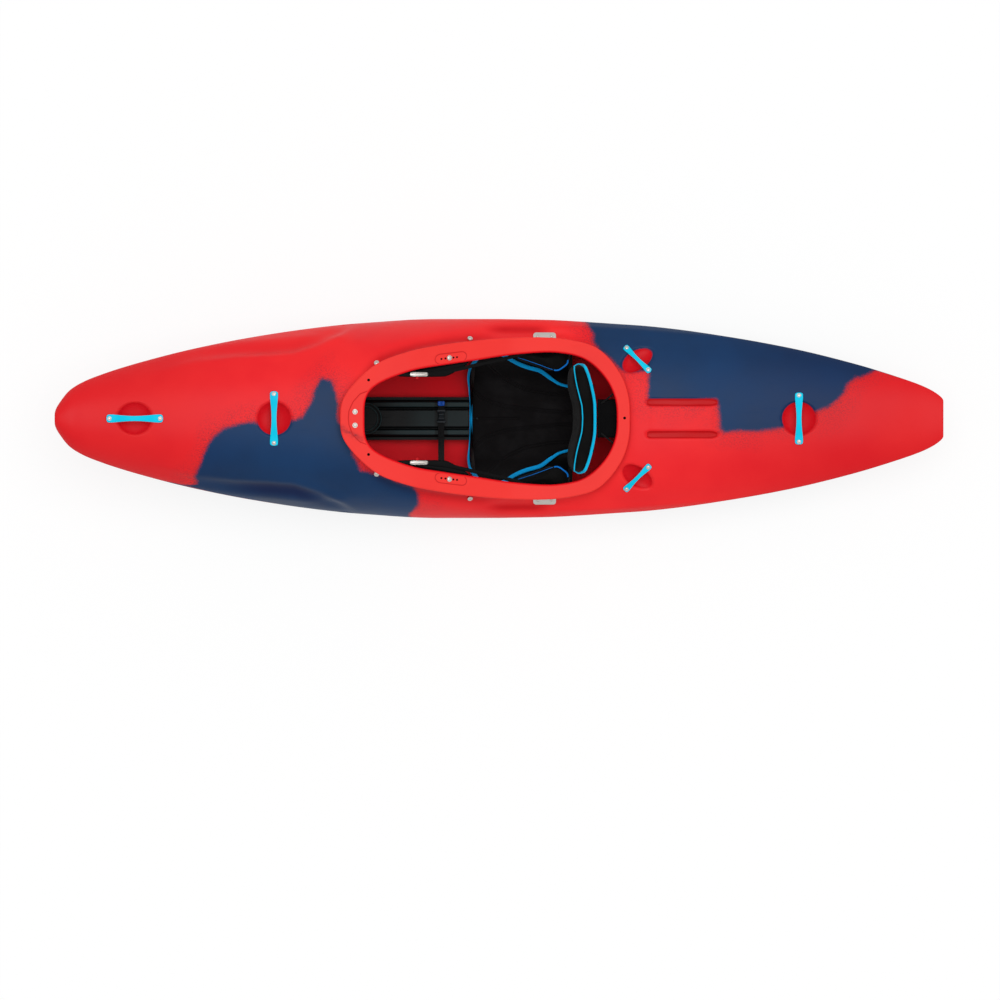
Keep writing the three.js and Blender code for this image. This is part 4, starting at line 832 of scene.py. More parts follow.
rimOuter, rimInner = rimOutlines()
rimWidth = np.linalg.norm(rimInner - rimOuter, axis=1)
rimInward = (rimInner - rimOuter) / rimWidth[:, None]
neckLine = rimOuter + rimInward * (rimWidth * rimShape["neckShare"] + rimShape["neckWall"] / 2)[:, None]

# Backband cords: braided, tight between the rear pillar and the underside of the rim
cordShape = {
    "radius": 0.0025,
    "start": (0.31401, 0.046),
    "middle": (0.340, 0.066),
    "end": (0.36, 0.083),
}


def makeCords():
    c = cordShape
    (x0, y0), (x1, y1), (x2, y2) = c["start"], c["middle"], c["end"]
    low = deckHeight(np.array([x0]), np.array([0.0]))[0] - hullShape["wall"] + c["radius"] + 0.0003
    high = rimTop(np.array([x2]))[0] - rimShape["plate"] - c["radius"] * 2
    between = (low + high) / 2 + c["radius"]
    for word, sign in bothSides:
        path = smoothPath([(x0, sign * y0, low), (x1, sign * y1, between), (x2, sign * y2, high)], 40)
        tube = sweepTape(f"backband_line_{word}", path, roundOutline(c["radius"], 12), (0, 0, 1), ropeBraid)
        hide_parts(f"backband_cord_{word}")


makeCords()
print("cords made")


# Push of the outer shell along its normals, in metres: bells across the moulded edges and the
# hollows beside them, then the foot recess, the gutter round the rim and the raised rear panel
def shellRelief(points, normals, onDeck):
    x, y, z = points.T
    push = np.zeros(len(x))
    side = np.stack([x, np.abs(y)], axis=1)
    flank = np.stack([x, z], axis=1)
    leaning = smoothStep(0.25, 0.7, np.abs(normals[:, 1]))
    upper, lower = (flank, onDeck * leaning), (flank, (1 - onDeck) * leaning)
    parts = {"sideCrease": (side, onDeck), "bulge": upper, "lowerRail": lower, "shoulder": upper}
    for key, (plane, where) in parts.items():
        ridge = edgeRidges[key]
        strength = where * window(x, ridge["rise"], ridge["fall"])
        push += strength * ridge["high"] * bell(lineDistance(plane, deckEdges[key]), ridge["wide"])
        if "hollow" in ridge:
            deep, apart, wide = ridge["hollow"]
            offset = plane[:, 1] - np.interp(x, *np.array(deckEdges[key]).T)
            push -= strength * deep * bell(offset - apart, wide)
    recess = deckEdges["footRecess"]
    mx, mz = sum(recess["x"]) / 2, sum(recess["z"]) / 2
    hx, hz = (recess["x"][1] - recess["x"][0]) / 2, (recess["z"][1] - recess["z"][0]) / 2
    reach = np.hypot(np.maximum(np.abs(x - mx) - (hx - hz), 0), z - mz)
    push -= recess["depth"] * (1 - smoothStep(hz - 0.005, hz + 0.001, reach)) * (normals[:, 2] < 0.75)
    gutter = insideDepth(points[:, :2], rimOuter[::6])
    beside = window(x, (-0.42, -0.33), (0.16, 0.3))
    push -= onDeck * beside * 0.007 * bell(gutter + 0.014, 0.016)
    push -= onDeck * 0.004 * waistHollow(x, side[:, 1])
    raised = smoothStep(-0.041, -0.036, -side[:, 1]) * (1 - smoothStep(0.092, 0.1, np.abs(x - 0.564)))
    push += onDeck * 0.0012 * raised * (normals[:, 2] > 0.5)
    return push


# The soft hollow of the deck beside the middle of the cockpit
def waistHollow(x, across):
    return window(x, (-0.06, 0.02), (0.1, 0.17)) * bell(across - 0.274, 0.012)


# Painted shade on the skin: darker beside the rim, in the waist hollows and under the side creases,
# more on the port side, all fading out on the flanks, and also towards the ends and on the lower hull
def paintedShadeDepth(points, normals):
    x, across = points[:, 0], np.abs(points[:, 1])
    outside = -insideDepth(points[:, :2], rimOuter[::6])
    beside = 0.7 * window(x, (-0.43, -0.36), (-0.1, 0.02)) * bell(outside - 0.004, 0.017)
    behind = 0.35 * smoothStep(0.2, 0.35, x) * bell(outside - 0.002, 0.008)
    below = across - np.interp(x, *np.array(deckEdges["sideCrease"]).T)
    deepness = np.where(points[:, 1] < 0, 0.9, 0.2) * window(x, (-0.9, -0.7), (-0.62, -0.5))
    under = deepness * window(below, (0.004, 0.014), (0.03, 0.06))
    onTop = np.maximum.reduce([beside, behind, 0.9 * waistHollow(x, across), under])
    ends = 0.42 * np.clip(smoothStep(0.7, 1.15, -x) + smoothStep(0.5, 1.05, x), 0, 1)
    low = 0.6 * smoothStep(0.05, 0.6, -normals[:, 2])
    return np.clip(np.maximum.reduce([onTop * smoothStep(0.05, 0.3, normals[:, 2]), ends, low]), 0, 1)


shellGrid = {"endRows": 26, "middleRows": 400, "deckColumns": 74, "hullColumns": 30, "noseRound": 0.004}


def shellStations(endRows, middleRows):
    end = 0.035 * (1 - np.cos(np.arange(endRows) / endRows * math.pi / 2))
    middle = np.linspace(0.035, 0.965, middleRows)
    at = np.concatenate([end, middle, 1 - end[::-1]])
    return (at - 0.5) * hullShape["length"]


# Even arc lengths along a line given as arrays of y and z for every station
def evenColumns(y, z, count):
    length = np.concatenate([
        np.zeros((len(y), 1)), np.cumsum(np.hypot(np.diff(y, axis=1), np.diff(z, axis=1)), axis=1),
    ], axis=1)
    outY, outZ = np.empty((len(y), count)), np.empty((len(y), count))
    for k, line in enumerate(length):
        wanted = np.linspace(0, line[-1], count)
        outY[k] = np.interp(wanted, line, y[k])
        outZ[k] = np.interp(wanted, line, z[k])
    return outY, outZ


# Rings round the shell: keel, starboard bilge, seam, deck middle, and back on the port side
def shellRings(x, deckColumns, hullColumns):
    s = {key: value[:, None] for key, value in shellAt(x).items()}
    angle = np.linspace(0, 1, 400)[None] * math.pi / 2
    deckY = s["half"] * np.sin(angle) ** (2 / s["across"])
    deckZ = s["seam"] + (s["top"] - s["seam"]) * np.clip(np.cos(angle), 0, 1) ** (2 * s["crown"])
    flat = s["flat"] * s["half"]
    turnY = flat + (s["half"] - flat) * np.sin(angle)
    turnZ = s["seam"] - (s["seam"] - s["keel"]) * np.cos(angle)
    bottomY = np.concatenate([np.zeros_like(flat), turnY], axis=1)
    bottomZ = np.concatenate([s["keel"], turnZ], axis=1)
    bottomY, bottomZ = evenColumns(bottomY, bottomZ, hullColumns + 1)
    deckY, deckZ = evenColumns(deckY[:, ::-1], deckZ[:, ::-1], deckColumns + 1)
    halfY = np.concatenate([bottomY, deckY[:, 1:]], axis=1)
    halfZ = np.concatenate([bottomZ, deckZ[:, 1:]], axis=1)
    y = np.concatenate([halfY, -halfY[:, -2:0:-1]], axis=1)
    z = np.concatenate([halfZ, halfZ[:, -2:0:-1]], axis=1)
    rings = np.stack([np.broadcast_to(x[:, None], y.shape), y, z], axis=-1)
    column = np.arange(y.shape[1])
    return rings, (column > hullColumns) & (column < y.shape[1] - hullColumns)


# Normals of the grid from its differences along and around, turned to face outwards
def ringNormals(rings):
    along = np.gradient(rings, axis=0)
    around = np.roll(rings, -1, axis=1) - np.roll(rings, 1, axis=1)
    normals = unit(np.cross(along, around))
    outward = np.sum(normals[:, :, 2] * np.sign(rings[:, :, 2] - rings[:, :, 2].mean(axis=1, keepdims=True)))
    return normals if outward > 0 else -normals


# Zones of blue resin, outlined on the plan (deck) and on the side (hull), in photo pixels
blueZones = {
    "planFront": [(197, 484), (195, 477), (201, 461), (213, 437), (223, 429), (238, 424), (254, 422),
                  (268, 428), (291, 420), (303, 417), (313, 396), (321, 378), (332, 381), (337, 400),
                  (339, 420), (360, 470), (409, 485), (413, 486), (419, 498), (420, 514), (420, 600),
                  (190, 600)],
    "planRear": [(586, 240), (587, 324), (593, 333), (592, 341), (599, 351), (611, 359), (622, 369),
                 (636, 371), (648, 372), (648, 400.5), (717, 400.5), (718, 406), (720, 428), (724, 434),
                 (735, 432), (759, 430), (782, 427), (800, 420), (817, 411), (828, 407), (839, 400),
                 (848, 385), (856, 377), (872, 373), (900, 360), (900, 240)],
    "portSide": [(179, 560), (175, 577), (164, 589), (163, 612), (156, 622), (156, 700), (406, 700),
                 (410, 652), (418, 632), (408, 616), (411, 583), (412, 555)],
    "portRear": [(571, 652), (585, 652), (616, 648), (642, 646), (674, 643), (718, 638), (772, 627),
                 (826, 624), (826, 760), (594, 760), (590, 668), (573, 663)],
    "starboardRear": [(586, 560), (590, 600), (580, 640), (571, 652), (573, 663), (590, 668), (594, 760),
                      (880, 760), (900, 600), (900, 560)],
}
redLine = [(165, 589), (190, 594.5), (215, 600.75), (265, 608), (315, 615), (365, 620), (412, 622.5),
           (440, 800)]


# Height above the thin red line along the side crease, which shows where the skin is blue
def aboveRedLine(points):
    line = np.array([sidePlace(px, py) for px, py in redLine])
    return points[:, 2] - np.interp(points[:, 0], *line.T)


# Depth into the blue zones: from the plan where the skin faces up, from the side where it stands
def blueDepth(points, normals):
    x, y, z = points.T
    plan = np.stack([x, y], axis=1)
    flank = np.stack([x, z], axis=1)

    def zone(key, place, where):
        return insideDepth(where, np.array([place(px, py) for px, py in blueZones[key]]))

    above = np.maximum(zone("planFront", planPlace, plan), zone("planRear", planPlace, plan))
    port = np.maximum(zone("portSide", sidePlace, flank), zone("portRear", sidePlace, flank))
    starboard = zone("starboardRear", sidePlace, flank)
    across = smoothStep(-0.05, 0.05, y)
    beside = port * (1 - across) + starboard * across
    upward = smoothStep(0.25, 0.62, normals[:, 2])
    return beside * (1 - upward) + above * upward


deckNodes = [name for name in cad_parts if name.startswith("deck_") and "_bolt" not in name]


# A grid round the shell: points, normals, rows, columns, which points are deck, and the push
def shellSurface(endRows, middleRows, deckColumns, hullColumns):
    x = shellStations(endRows, middleRows)
    rings, onDeck = shellRings(x, deckColumns, hullColumns)
    rows, columns = rings.shape[:2]
    points, normals = rings.reshape(-1, 3), ringNormals(rings).reshape(-1, 3)
    onDeck = np.broadcast_to(onDeck, (rows, columns)).ravel()
    return points, normals, rows, columns, onDeck, shellRelief(points, normals, onDeck.astype(float))


# Leaves out the quads in the cockpit's opening and draws the deck's edge in to the neck
def openCockpit(points, quads, onDeck, drop=0.0):
    inHole = (insideDepth(points[:, :2], neckLine[::3]) > 0) & onDeck
    quads = quads[~inHole[quads].all(axis=1)]
    used = np.zeros(len(points), bool)
    used[quads.ravel()] = True
    edge = used & inHole
    moved = nearestOnLine(points[edge][:, :2], np.concatenate([neckLine, neckLine[:1]]))[0]
    points[edge, :2] = moved
    points[edge, 2] = deckHeight(moved[:, 0], moved[:, 1]) - drop
    return quads


# The whole outer skin: hull and deck in one, open under the rim
def makeShell():
    grid = shellSurface(*(shellGrid[key] for key in ("endRows", "middleRows", "deckColumns", "hullColumns")))
    points, flatNormals, rows, columns, onDeck, push = grid
    points = points + flatNormals * push[:, None]
    upper = onDeck & (flatNormals[:, 2] > 0.2)
    depth, inDish, inGroove = dishes(points[:, 0], points[:, 1])
    points = points - flatNormals * (depth * upper)[:, None]
    points[:, 1] = np.clip(points[:, 1], -hullShape["halfBeam"], hullShape["halfBeam"])
    points[:, 2] = np.maximum(points[:, 2], 0)
    quads = openCockpit(points, gridFaces(rows, columns, closeColumns=True), onDeck)
    capPoints, caps = endCaps(points, rows, columns)
    allPoints = np.concatenate([points, capPoints])
    if signedVolume(allPoints, quads) < 0:
        quads, caps = quads[:, ::-1], [c[:, ::-1] for c in caps]
    allNormals = np.concatenate([flatNormals, np.tile([[-1.0, 0, 0]], (len(capPoints), 1))])
    outside = np.full(len(capPoints), -1)
    attributes = {
        "blueDepth": blueDepth(allPoints, allNormals),
        # painted shade: darker beside the rim, under the creases, at the ends and underneath
        "hollow": paintedShadeDepth(allPoints, allNormals),
        "redLine": aboveRedLine(allPoints),
        "inDish": np.concatenate([np.where(upper, inDish, -1), outside]),
        "inGroove": np.concatenate([np.where(upper, inGroove, -1), outside]),
    }
    piece = makePiece("shell_skin", allPoints, [quads] + caps, shellPlastic, attributes=attributes)
    finishPiece(piece, "shell", "hull", *deckNodes)


# The blunt ends: a smaller ring pushed out a little, then a fan to its middle
def endCaps(points, rows, columns):
    capPoints, faces, start = [], [], len(points)
    for row, outward in ((0, -1), (rows - 1, 1)):
        ring = points[row * columns:(row + 1) * columns]
        middle = ring.mean(axis=0)
        points[row * columns:(row + 1) * columns, 0] -= outward * shellGrid["noseRound"] * 0.5
        small = middle + (ring - middle) * 0.8
        small[:, 0] = ring[:, 0]
        capPoints += [small, middle[None]]
        k = np.arange(columns)
        kn = (k + 1) % columns
        base = row * columns
        bridge = np.stack([base + kn, base + k, start + k, start + kn], axis=1)
        fan = np.stack([start + kn, start + k, np.full(columns, start + columns)], axis=1)
        if outward > 0:
            bridge, fan = bridge[:, ::-1], fan[:, ::-1]
        faces += [bridge, fan]
        start += columns + 1
    return np.concatenate(capPoints), faces


# The inner skin, a wall's thickness inside the outer one
def makeLining():
    points, flatNormals, rows, columns, onDeck, push = shellSurface(8, 200, 40, 26)
    keepRows = np.abs(points[::columns, 0]) < hullShape["length"] / 2 - 0.03
    upper = onDeck & (flatNormals[:, 2] > 0.2)
    sunk = dishes(points[:, 0], points[:, 1])[0] * upper + wall - push
    points = points - flatNormals * sunk[:, None]
    quads = gridFaces(rows, columns, closeColumns=True)
    quads = openCockpit(points, quads[keepRows[quads // columns].all(axis=1)], onDeck, wall)
    if signedVolume(points, quads) > 0:
        quads = quads[:, ::-1]
    finishPiece(makePiece("shell_lining", points, [quads], liningPlastic), "shell")


makeShell()
makeLining()
print("shell made")


# The rim: a rounded plate on a neck that flares into the deck
rimLines = {
    "crescent": [(368, 391), (360, 394), (353, 402), (349, 411), (348.4, 418), (349, 425), (353, 435),
                 (360, 442), (368, 445), (400, 445), (400, 391)],
    "slotX": (435.2, 466.6),
    "slotY": 357.8,
    "slotTilt": -0.115,
    "slotHalf": 4.8,
    "stepDepth": 0.0014,
}


# How far inside the nearer of the two slanted slots each place is
def slotDepth(places):
    best = np.full(len(places), -1.0)
    for sign in (-1, 1):
        x0, x1 = (planPlace(px, 0)[0] for px in rimLines["slotX"])
        y = sign * planPlace(0, rimLines["slotY"])[1]
        half = rimLines["slotHalf"] * photoFrame["metresPerPixel"]
        dx = places[:, 0] - (x0 + x1) / 2
        dy = places[:, 1] - y + sign * rimLines["slotTilt"] * dx
        reach = np.hypot(np.maximum(np.abs(dx) - ((x1 - x0) / 2 - half), 0), dy)
        best = np.maximum(best, half - reach)
    return best


# A section carried round the rim as distances inwards from its outer edge and heights from its
# top; the neck's foot is given from the deck instead, and the recess and slots are pressed in
def makeRim():
    plate, r = rimShape["plate"], rimShape["round"]
    w = rimWidth[:, None]
    steps = rimShape["steps"]
    quarter = np.linspace(0, 1, 6) * math.pi / 2
    topShares = np.linspace(0, 1, 26)[1:-1]
    neckOut, neckIn = w * rimShape["neckShare"], w * rimShape["neckShare"] + rimShape["neckWall"]
    column = np.ones((steps, 1))
    d, h, foot = [], [], []

    def add(distance, height, atDeck=0.0):
        d.append(distance * column)
        h.append(height * column)
        foot.append(atDeck * column)

    for q in quarter:
        add(r * (1 - math.cos(q)), -r * (1 - math.sin(q)))
    roll = rimShape["roll"]
    for share in topShares:
        add(r + (w - r - roll) * share, 0.0)
    for q in quarter[::-1]:
        add(w - roll * (1 - math.cos(q)), -roll * (1 - math.sin(q)))
    for q in quarter:
        add(w - 0.5 * r * (1 - math.cos(q)), -plate + 0.5 * r * (1 - math.sin(q)))
    for corner in (
        (neckIn + 0.004, -plate), (neckIn + 0.001, -plate - 0.001), (neckIn, -plate - 0.004),
        (neckIn, -0.5, -wall - 0.004), (neckOut - 0.01, -0.5, -0.004), (neckOut - 0.007, -0.5, 0.0004),
        (neckOut - 0.003, -0.5, 0.0035), (neckOut, -0.5, 0.01), (neckOut, -plate - 0.004),
        (neckOut - 0.001, -plate - 0.001), (neckOut - 0.004, -plate),
    ):
        add(*corner)
    for q in quarter[::-1]:
        add(0.5 * r * (1 - math.cos(q)), -plate + 0.5 * r * (1 - math.sin(q)))
    d, h, foot = np.concatenate(d, 1), np.concatenate(h, 1), np.concatenate(foot, 1)
    places = rimOuter[:, None] + rimInward[:, None] * d[..., None]
    x, y = places[..., 0], places[..., 1]
    top = rimTop(x.ravel()).reshape(x.shape)
    deck = deckHeight(x.ravel(), y.ravel()).reshape(x.shape)
    z = top + h
    z = np.where(foot != 0, np.minimum(deck + foot, top - plate - 0.0005), z)
    flatPlaces = places.reshape(-1, 2)
    crescent = insideDepth(flatPlaces, np.array([planPlace(*p) for p in rimLines["crescent"]]))
    slots = slotDepth(flatPlaces)
    upper = (np.abs(h) < 1e-9).ravel() & (foot.ravel() == 0)
    step = smoothStep(-0.0015, 0.0015, np.maximum(crescent, slots)) * rimLines["stepDepth"]
    z = z.ravel() - np.where(upper, step, 0)
    points = np.stack([x.ravel(), y.ravel(), z], axis=1)
    quads = gridFaces(steps, d.shape[1], True, True)
    if signedVolume(points, quads) < 0:
        quads = quads[:, ::-1]
    nearest = np.where(np.abs(crescent) < np.abs(slots), crescent, slots)
    lines = np.where(upper, nearest, 0.05)
    smearLine = np.array([planPlace(338, 426), planPlace(350, 433), planPlace(361, 439)])
    smear = bell(lineDistance(flatPlaces, smearLine), 0.008) * 0.9
    fromInner = (w - d).ravel()
    # where the painted shade of the inner edge goes: on the plate's inner rounding
    rolledEdgeShade = smoothStep(-0.0065, -0.0035, -fromInner) * (h.ravel() > -0.3)
    attributes = {"lineDistance": lines, "smear": smear, "rolledEdgeShade": rolledEdgeShade}
    piece = makePiece("cockpit_rim_skin", points, [quads], rimPlastic, attributes=attributes)
    finishPiece(piece, "rim", "cockpit_rim")


makeRim()
print("rim made")


def vertexArray(mesh):
    points = np.empty(len(mesh.vertices) * 3, np.float32)
    mesh.vertices.foreach_get("co", points)
    return points.reshape(-1, 3).astype(float)


# Where the CAD says a bolt is: the point of its axis under its head, and its axis
def boltPlace(node):
    points = vertexArray(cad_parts[node].data)
    middle = points.mean(axis=0)
    values, vectors = np.linalg.eigh(np.cov((points - middle).T))
    gaps = np.abs(np.diff(values))
    axis = vectors[:, 0] if gaps[0] > gaps[1] else vectors[:, 2]
    along = (points - middle) @ axis
    radius = np.linalg.norm(points - middle - along[:, None] * axis, axis=1)
    if along[radius > radius.max() * 0.9].mean() < along.mean():
        axis = -axis
        along = -along
    wide = along[radius > radius.max() * 0.95]
    return middle + axis * wide.min(), axis


boltShape = {
    "radius": 0.008,
    "height": 0.0036,
    "socket": 0.0026,
    "socketDepth": 0.0022,
    "shank": 0.003,
    "reach": 0.014,
    "washer": 0.0009,
    "edge": 0.0003,
    "handleShare": 0.8,
    "sides": 30,
}


# Rows of rings grown or shrunk about their own middles, by a share for each point
def scaleRows(rings, rows, shares):
    for row in rows:
        centre = rings[row].mean(axis=0)
        rings[row] = centre + (rings[row] - centre) * shares[:, None]


# A button-head bolt with a six-sided socket and a flat washer under its head
def makeBolt(name, base, axis, size=1.0, *nodes):
    b = boltShape
    r, height, washer, edge = b["radius"] * size, b["height"] * size, b["washer"], b["edge"]
    profile = [(b["shank"], -b["reach"]), (b["shank"], 0), (r, 0), (r, washer - edge), (r - edge, washer),
               (r * 0.88, washer)]
    dome = np.linspace(0, 1.1, 7)
    profile += [(r * 0.86 * math.cos(a), washer + (height - washer) * math.sin(a)) for a in dome]
    socket, floor = b["socket"] * size, height - b["socketDepth"] * size
    profile += [(socket + 0.0004, height), (socket, height - 0.0004), (socket, floor), (0.0004, floor)]
    rings = turnedRings(profile, base, axis, b["sides"])
    angle = np.arange(b["sides"]) / b["sides"] * 2 * math.pi
    scaleRows(rings, (-3, -2), math.cos(math.pi / 6) / np.cos((angle % (math.pi / 3)) - math.pi / 6))
    return skinPiece(name, rings, steelFinish, "steel", *nodes, sharp=35)


boltNodes = [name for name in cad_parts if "_bolt" in name]
for node in boltNodes:
    makeBolt(node + "_head", *boltPlace(node), boltShape["handleShare"] if "handle" in node else 1.0, node)
print("bolts made:", len(boltNodes))

# Side plates: stainless strips with rounded corners that follow the deck, each on two screws
plateShape = {
    "x": 0.1405,
    "y": 0.252,
    "long": 0.07,
    "wide": 0.026,
    "thick": 0.003,
    "edge": 0.0006,
    "gap": 0.0003,
    "corner": 0.009,
    "screws": 0.021,
}


def makeSidePlates():
    p = plateShape
    outline = oblongOutline(p["long"], p["wide"], p["corner"], 9)
    size = np.array([p["long"], p["wide"]])
    layers = [(p["gap"], 0.0), (p["thick"] - p["edge"], 0.0), (p["thick"], p["edge"])]
    for word, sign in bothSides:
        rings = []
        for height, inset in layers:
            places = outline * (1 - 2 * inset / size) + (p["x"], sign * p["y"])
            z = deckHeight(places[:, 0], places[:, 1]) + height
            rings.append(np.column_stack([places, z]))
        plate = f"side_plate_{word}"
        skinPiece(plate + "_strip", np.array(rings), steelFinish, "steel", plate, sharp=30)
        for k, end in enumerate((-1, 1)):
            x, y = np.array([p["x"] + end * p["screws"]]), np.array([sign * p["y"]])
            axis = slopeNormal(deckHeight, x, y)[0]
            base = np.array([x[0], y[0], deckHeight(x, y)[0]]) + axis * p["thick"]
            makeBolt(f"{plate}_screw_{k + 1}", base, axis, 0.6)


makeSidePlates()

# Holes in the rim drawn as painted shade: small dark sunk discs, given as photo pixels, at the height of the
# rim
rimHoles = {
    "places": [(368.6, 380), (368.6, 454.5), (624.6, 418)],
    "slotSteps": [-8.1, -4.1, 3.9, 7.5],
    "slotBolt": (449.5, 358),
    "radius": 0.0043,
    "slotShare": 0.7,
    "lift": 0.0004,
}


def makeRimHoles():
    h = rimHoles
    places = [planPlace(*p) for p in h["places"]]
    for sign in (-1, 1):
        for step in h["slotSteps"]:
            x, y = planPlace(h["slotBolt"][0] + step, h["slotBolt"][1] + step * rimLines["slotTilt"])
            places.append((x, sign * y))
    for k, (x, y) in enumerate(places):
        spot = np.array([x])
        axis = slopeNormal(lambda a, b: rimTop(a), spot, spot * 0)[0]
        inSlot = k >= len(h["places"])
        base = np.array([x, y, rimTop(spot)[0] - rimLines["stepDepth"] * inSlot])
        r = h["radius"] * (h["slotShare"] if inSlot else 1)
        profile = [(r, -0.002), (r, h["lift"]), (r * 0.1, h["lift"])]
        skinPiece(f"rim_hole_shade_{k + 1}", turnedRings(profile, base, axis, 20), holeShadePlastic, "rim")


makeRimHoles()

# Grab handles: straps with a waist, arched over their dishes between two bolts
handleShape = {
    "thick": 0.0042,
    "edge": 0.0016,
    "padShare": 0.12,
    "gap": 0.0003,
    "crown": 0.0007,
    "stations": 72,
}
longHandle = {"y": 0, "end": 0.025, "waist": 0.016}
shortHandle = {"x": 0.4263, "long": 0.112, "end": 0.019, "waist": 0.012, "arch": 0.009}
handlePlaces = {
    "bow_handle": {**longHandle, "x": -1.122, "long": 0.174, "turn": 0, "arch": 0.017},
    "front_deck_handle": {**longHandle, "x": -0.693, "long": 0.168, "turn": 0.5, "arch": 0.015},
    "stern_handle": {**longHandle, "x": 0.924, "long": 0.16, "turn": 0.5, "arch": 0.013},
    "rear_handle_left": {**shortHandle, "y": -0.183, "turn": 0.25},
    "rear_handle_right": {**shortHandle, "y": 0.183, "turn": -0.25},
}


# Along the strap the waist narrows and the arch rises as sines, and its ends are rounded
def makeHandle(name):
    h, s = handlePlaces[name], handleShape
    share = np.linspace(0, 1, s["stations"])
    along = h["long"] * (share - 0.5)
    middle = np.clip((share - s["padShare"]) / (1 - 2 * s["padShare"]), 0, 1)
    bow = np.sin(middle * math.pi)
    lift = h["arch"] * bow * bow * (2 - bow)
    half = (h["end"] + (h["waist"] - h["end"]) * bow) / 2
    fromEnd = np.minimum(along + h["long"] / 2, h["long"] / 2 - along)
    corner = h["end"] * 0.32
    half = half - (1 - quarterRise(fromEnd / corner)) * corner * 0.9
    angle = h["turn"] * math.pi
    outline = oblongOutline(2, s["thick"], s["edge"], 4)
    rings = np.empty((len(share), len(outline), 3))
    for k, (sideShare, height) in enumerate(outline):
        reach = np.sign(sideShare) * (half - (1 - abs(sideShare)))
        crown = s["crown"] * (1 - (reach / half) ** 2) if height > 0 else 0.0
        x = h["x"] + along * math.cos(angle) - reach * math.sin(angle)
        y = h["y"] + along * math.sin(angle) + reach * math.cos(angle)
        z = deckHeight(x, y) + s["gap"] + lift + s["thick"] / 2 + height + crown
        rings[:, k] = np.stack([x, y, z], axis=1)
    skinPiece(name + "_strap", rings, handlePlastic, "handle", name, sharp=50)


for name in handlePlaces:
    makeHandle(name)
print("handles made")


# Padded cloth: remeshed, blown up a little by Blender's cloth, and eased back where it moved too far
def puff(piece, voxel, pressure, cap, frames=16):
    scene = bpy.context.scene
    remesh = piece.modifiers.new("remesh", "REMESH")
    remesh.mode = "VOXEL"
    remesh.voxel_size = voxel
    remesh.use_smooth_shade = True
    applyModifiers(piece)
    start = vertexArray(piece.data)
    cloth = piece.modifiers.new("cloth", "CLOTH")
    cloth.settings.use_pressure = True
    cloth.settings.uniform_pressure_force = pressure
    cloth.settings.effector_weights.gravity = 0
    cloth.settings.quality = 5
    cloth.point_cache.frame_start = 1
    cloth.point_cache.frame_end = frames
    for step in range(1, frames + 1):
        scene.frame_set(step)
    applyModifiers(piece)
    scene.frame_set(1)
    end = vertexArray(piece.data)
    move = end - start
    far = np.linalg.norm(move, axis=1, keepdims=True)
    move = move * np.minimum(1, cap / np.maximum(far, 1e-9))
    piece.data.vertices.foreach_set("co", (start + move).astype(np.float32).ravel())
    piece.data.update()
    piece.data.polygons.foreach_set("use_smooth", np.ones(len(piece.data.polygons), bool))
    smooth = piece.modifiers.new("smooth", "SUBSURF")
    smooth.levels = smooth.render_levels = 1
    applyModifiers(piece)


# The mesh that the modifiers give becomes the piece's own
def applyModifiers(piece):
    graph = bpy.context.evaluated_depsgraph_get()
    graph.update()
    mesh = bpy.data.meshes.new_from_object(piece.evaluated_get(graph), depsgraph=graph)
    old = piece.data
    piece.modifiers.clear()
    piece.data = mesh
    bpy.data.meshes.remove(old)


# Seat pan and pad: the pad lies on the pan and its wings rise up the hull sides
panShape = {"half": 0.104, "top": 0.036}
padShape = {
    "start": -0.092,
    "long": 0.34,
    "half": 0.178,
    "thick": 0.022,
    "wing": 0.092,
    "dip": 0.006,
    "gap": 0.0003,
    "halves": [(0, 1), (0.03, 1.06), (0.08, 1.1), (0.15, 1.12), (0.27, 1.12), (0.325, 1.08), (0.36, 1.035),
               (0.405, 0.985), (0.46, 0.935), (0.53, 0.885), (0.6, 0.85), (0.65, 0.818), (0.7, 0.748),
               (0.75, 0.672), (0.8, 0.602), (0.885, 0.55), (0.96, 0.53), (1, 0.527)],
    "frontLine": [(0, 0.0072), (0.25, 0.0072), (0.5, 0.004), (0.7, 0.0004), (0.85, 0.004), (0.95, 0.0125),
                  (1, 0.02)],
    "innerSeam": [(475, 392.5), (482, 398), (492, 402.6), (506, 406.5), (525, 409), (550, 411.5), (590, 414)],
    "outerSeam": [(486, 355), (489, 366), (500, 376), (512, 383), (525, 389), (550, 393.5), (590, 395.5)],
    "middleSeam": [(475, 418.5), (500, 418.5), (519, 418.5)],
    "seams": (("innerSeam", 0.0034, 0.002), ("outerSeam", 0.0034, 0.002), ("middleSeam", 0, 0.003)),
    "seamDepth": 0.0045,
    "tapeWidth": 0.0128,
    "tapeHigh": 0.0106,
    "tapeRise": 0.0075,
    "buttonX": 477,
    "buttonRise": 0.0195,
    "button": [(0.0036, -0.006), (0.0036, 0.0015), (0.0028, 0.0026), (0.0005, 0.003)],
    "rows": 230,
    "columns": 210,
}


# Under side: flat on the pan, then rising with the square of the reach beyond it
def padUnder(y):
    reach = np.maximum(np.abs(y) - panShape["half"], 0) / (padShape["half"] - panShape["half"])
    return panShape["top"] + padShape["gap"] + padShape["wing"] * reach * reach


def padPlace(share, across):
    p = padShape
    half = p["half"] * smoothThrough(*np.array(p["halves"]).T, share)
    y = half * across
    front = smoothThrough(*np.array(p["frontLine"]).T, np.abs(across)) * (1 - share) ** 6
    return p["start"] + p["long"] * share + front, y


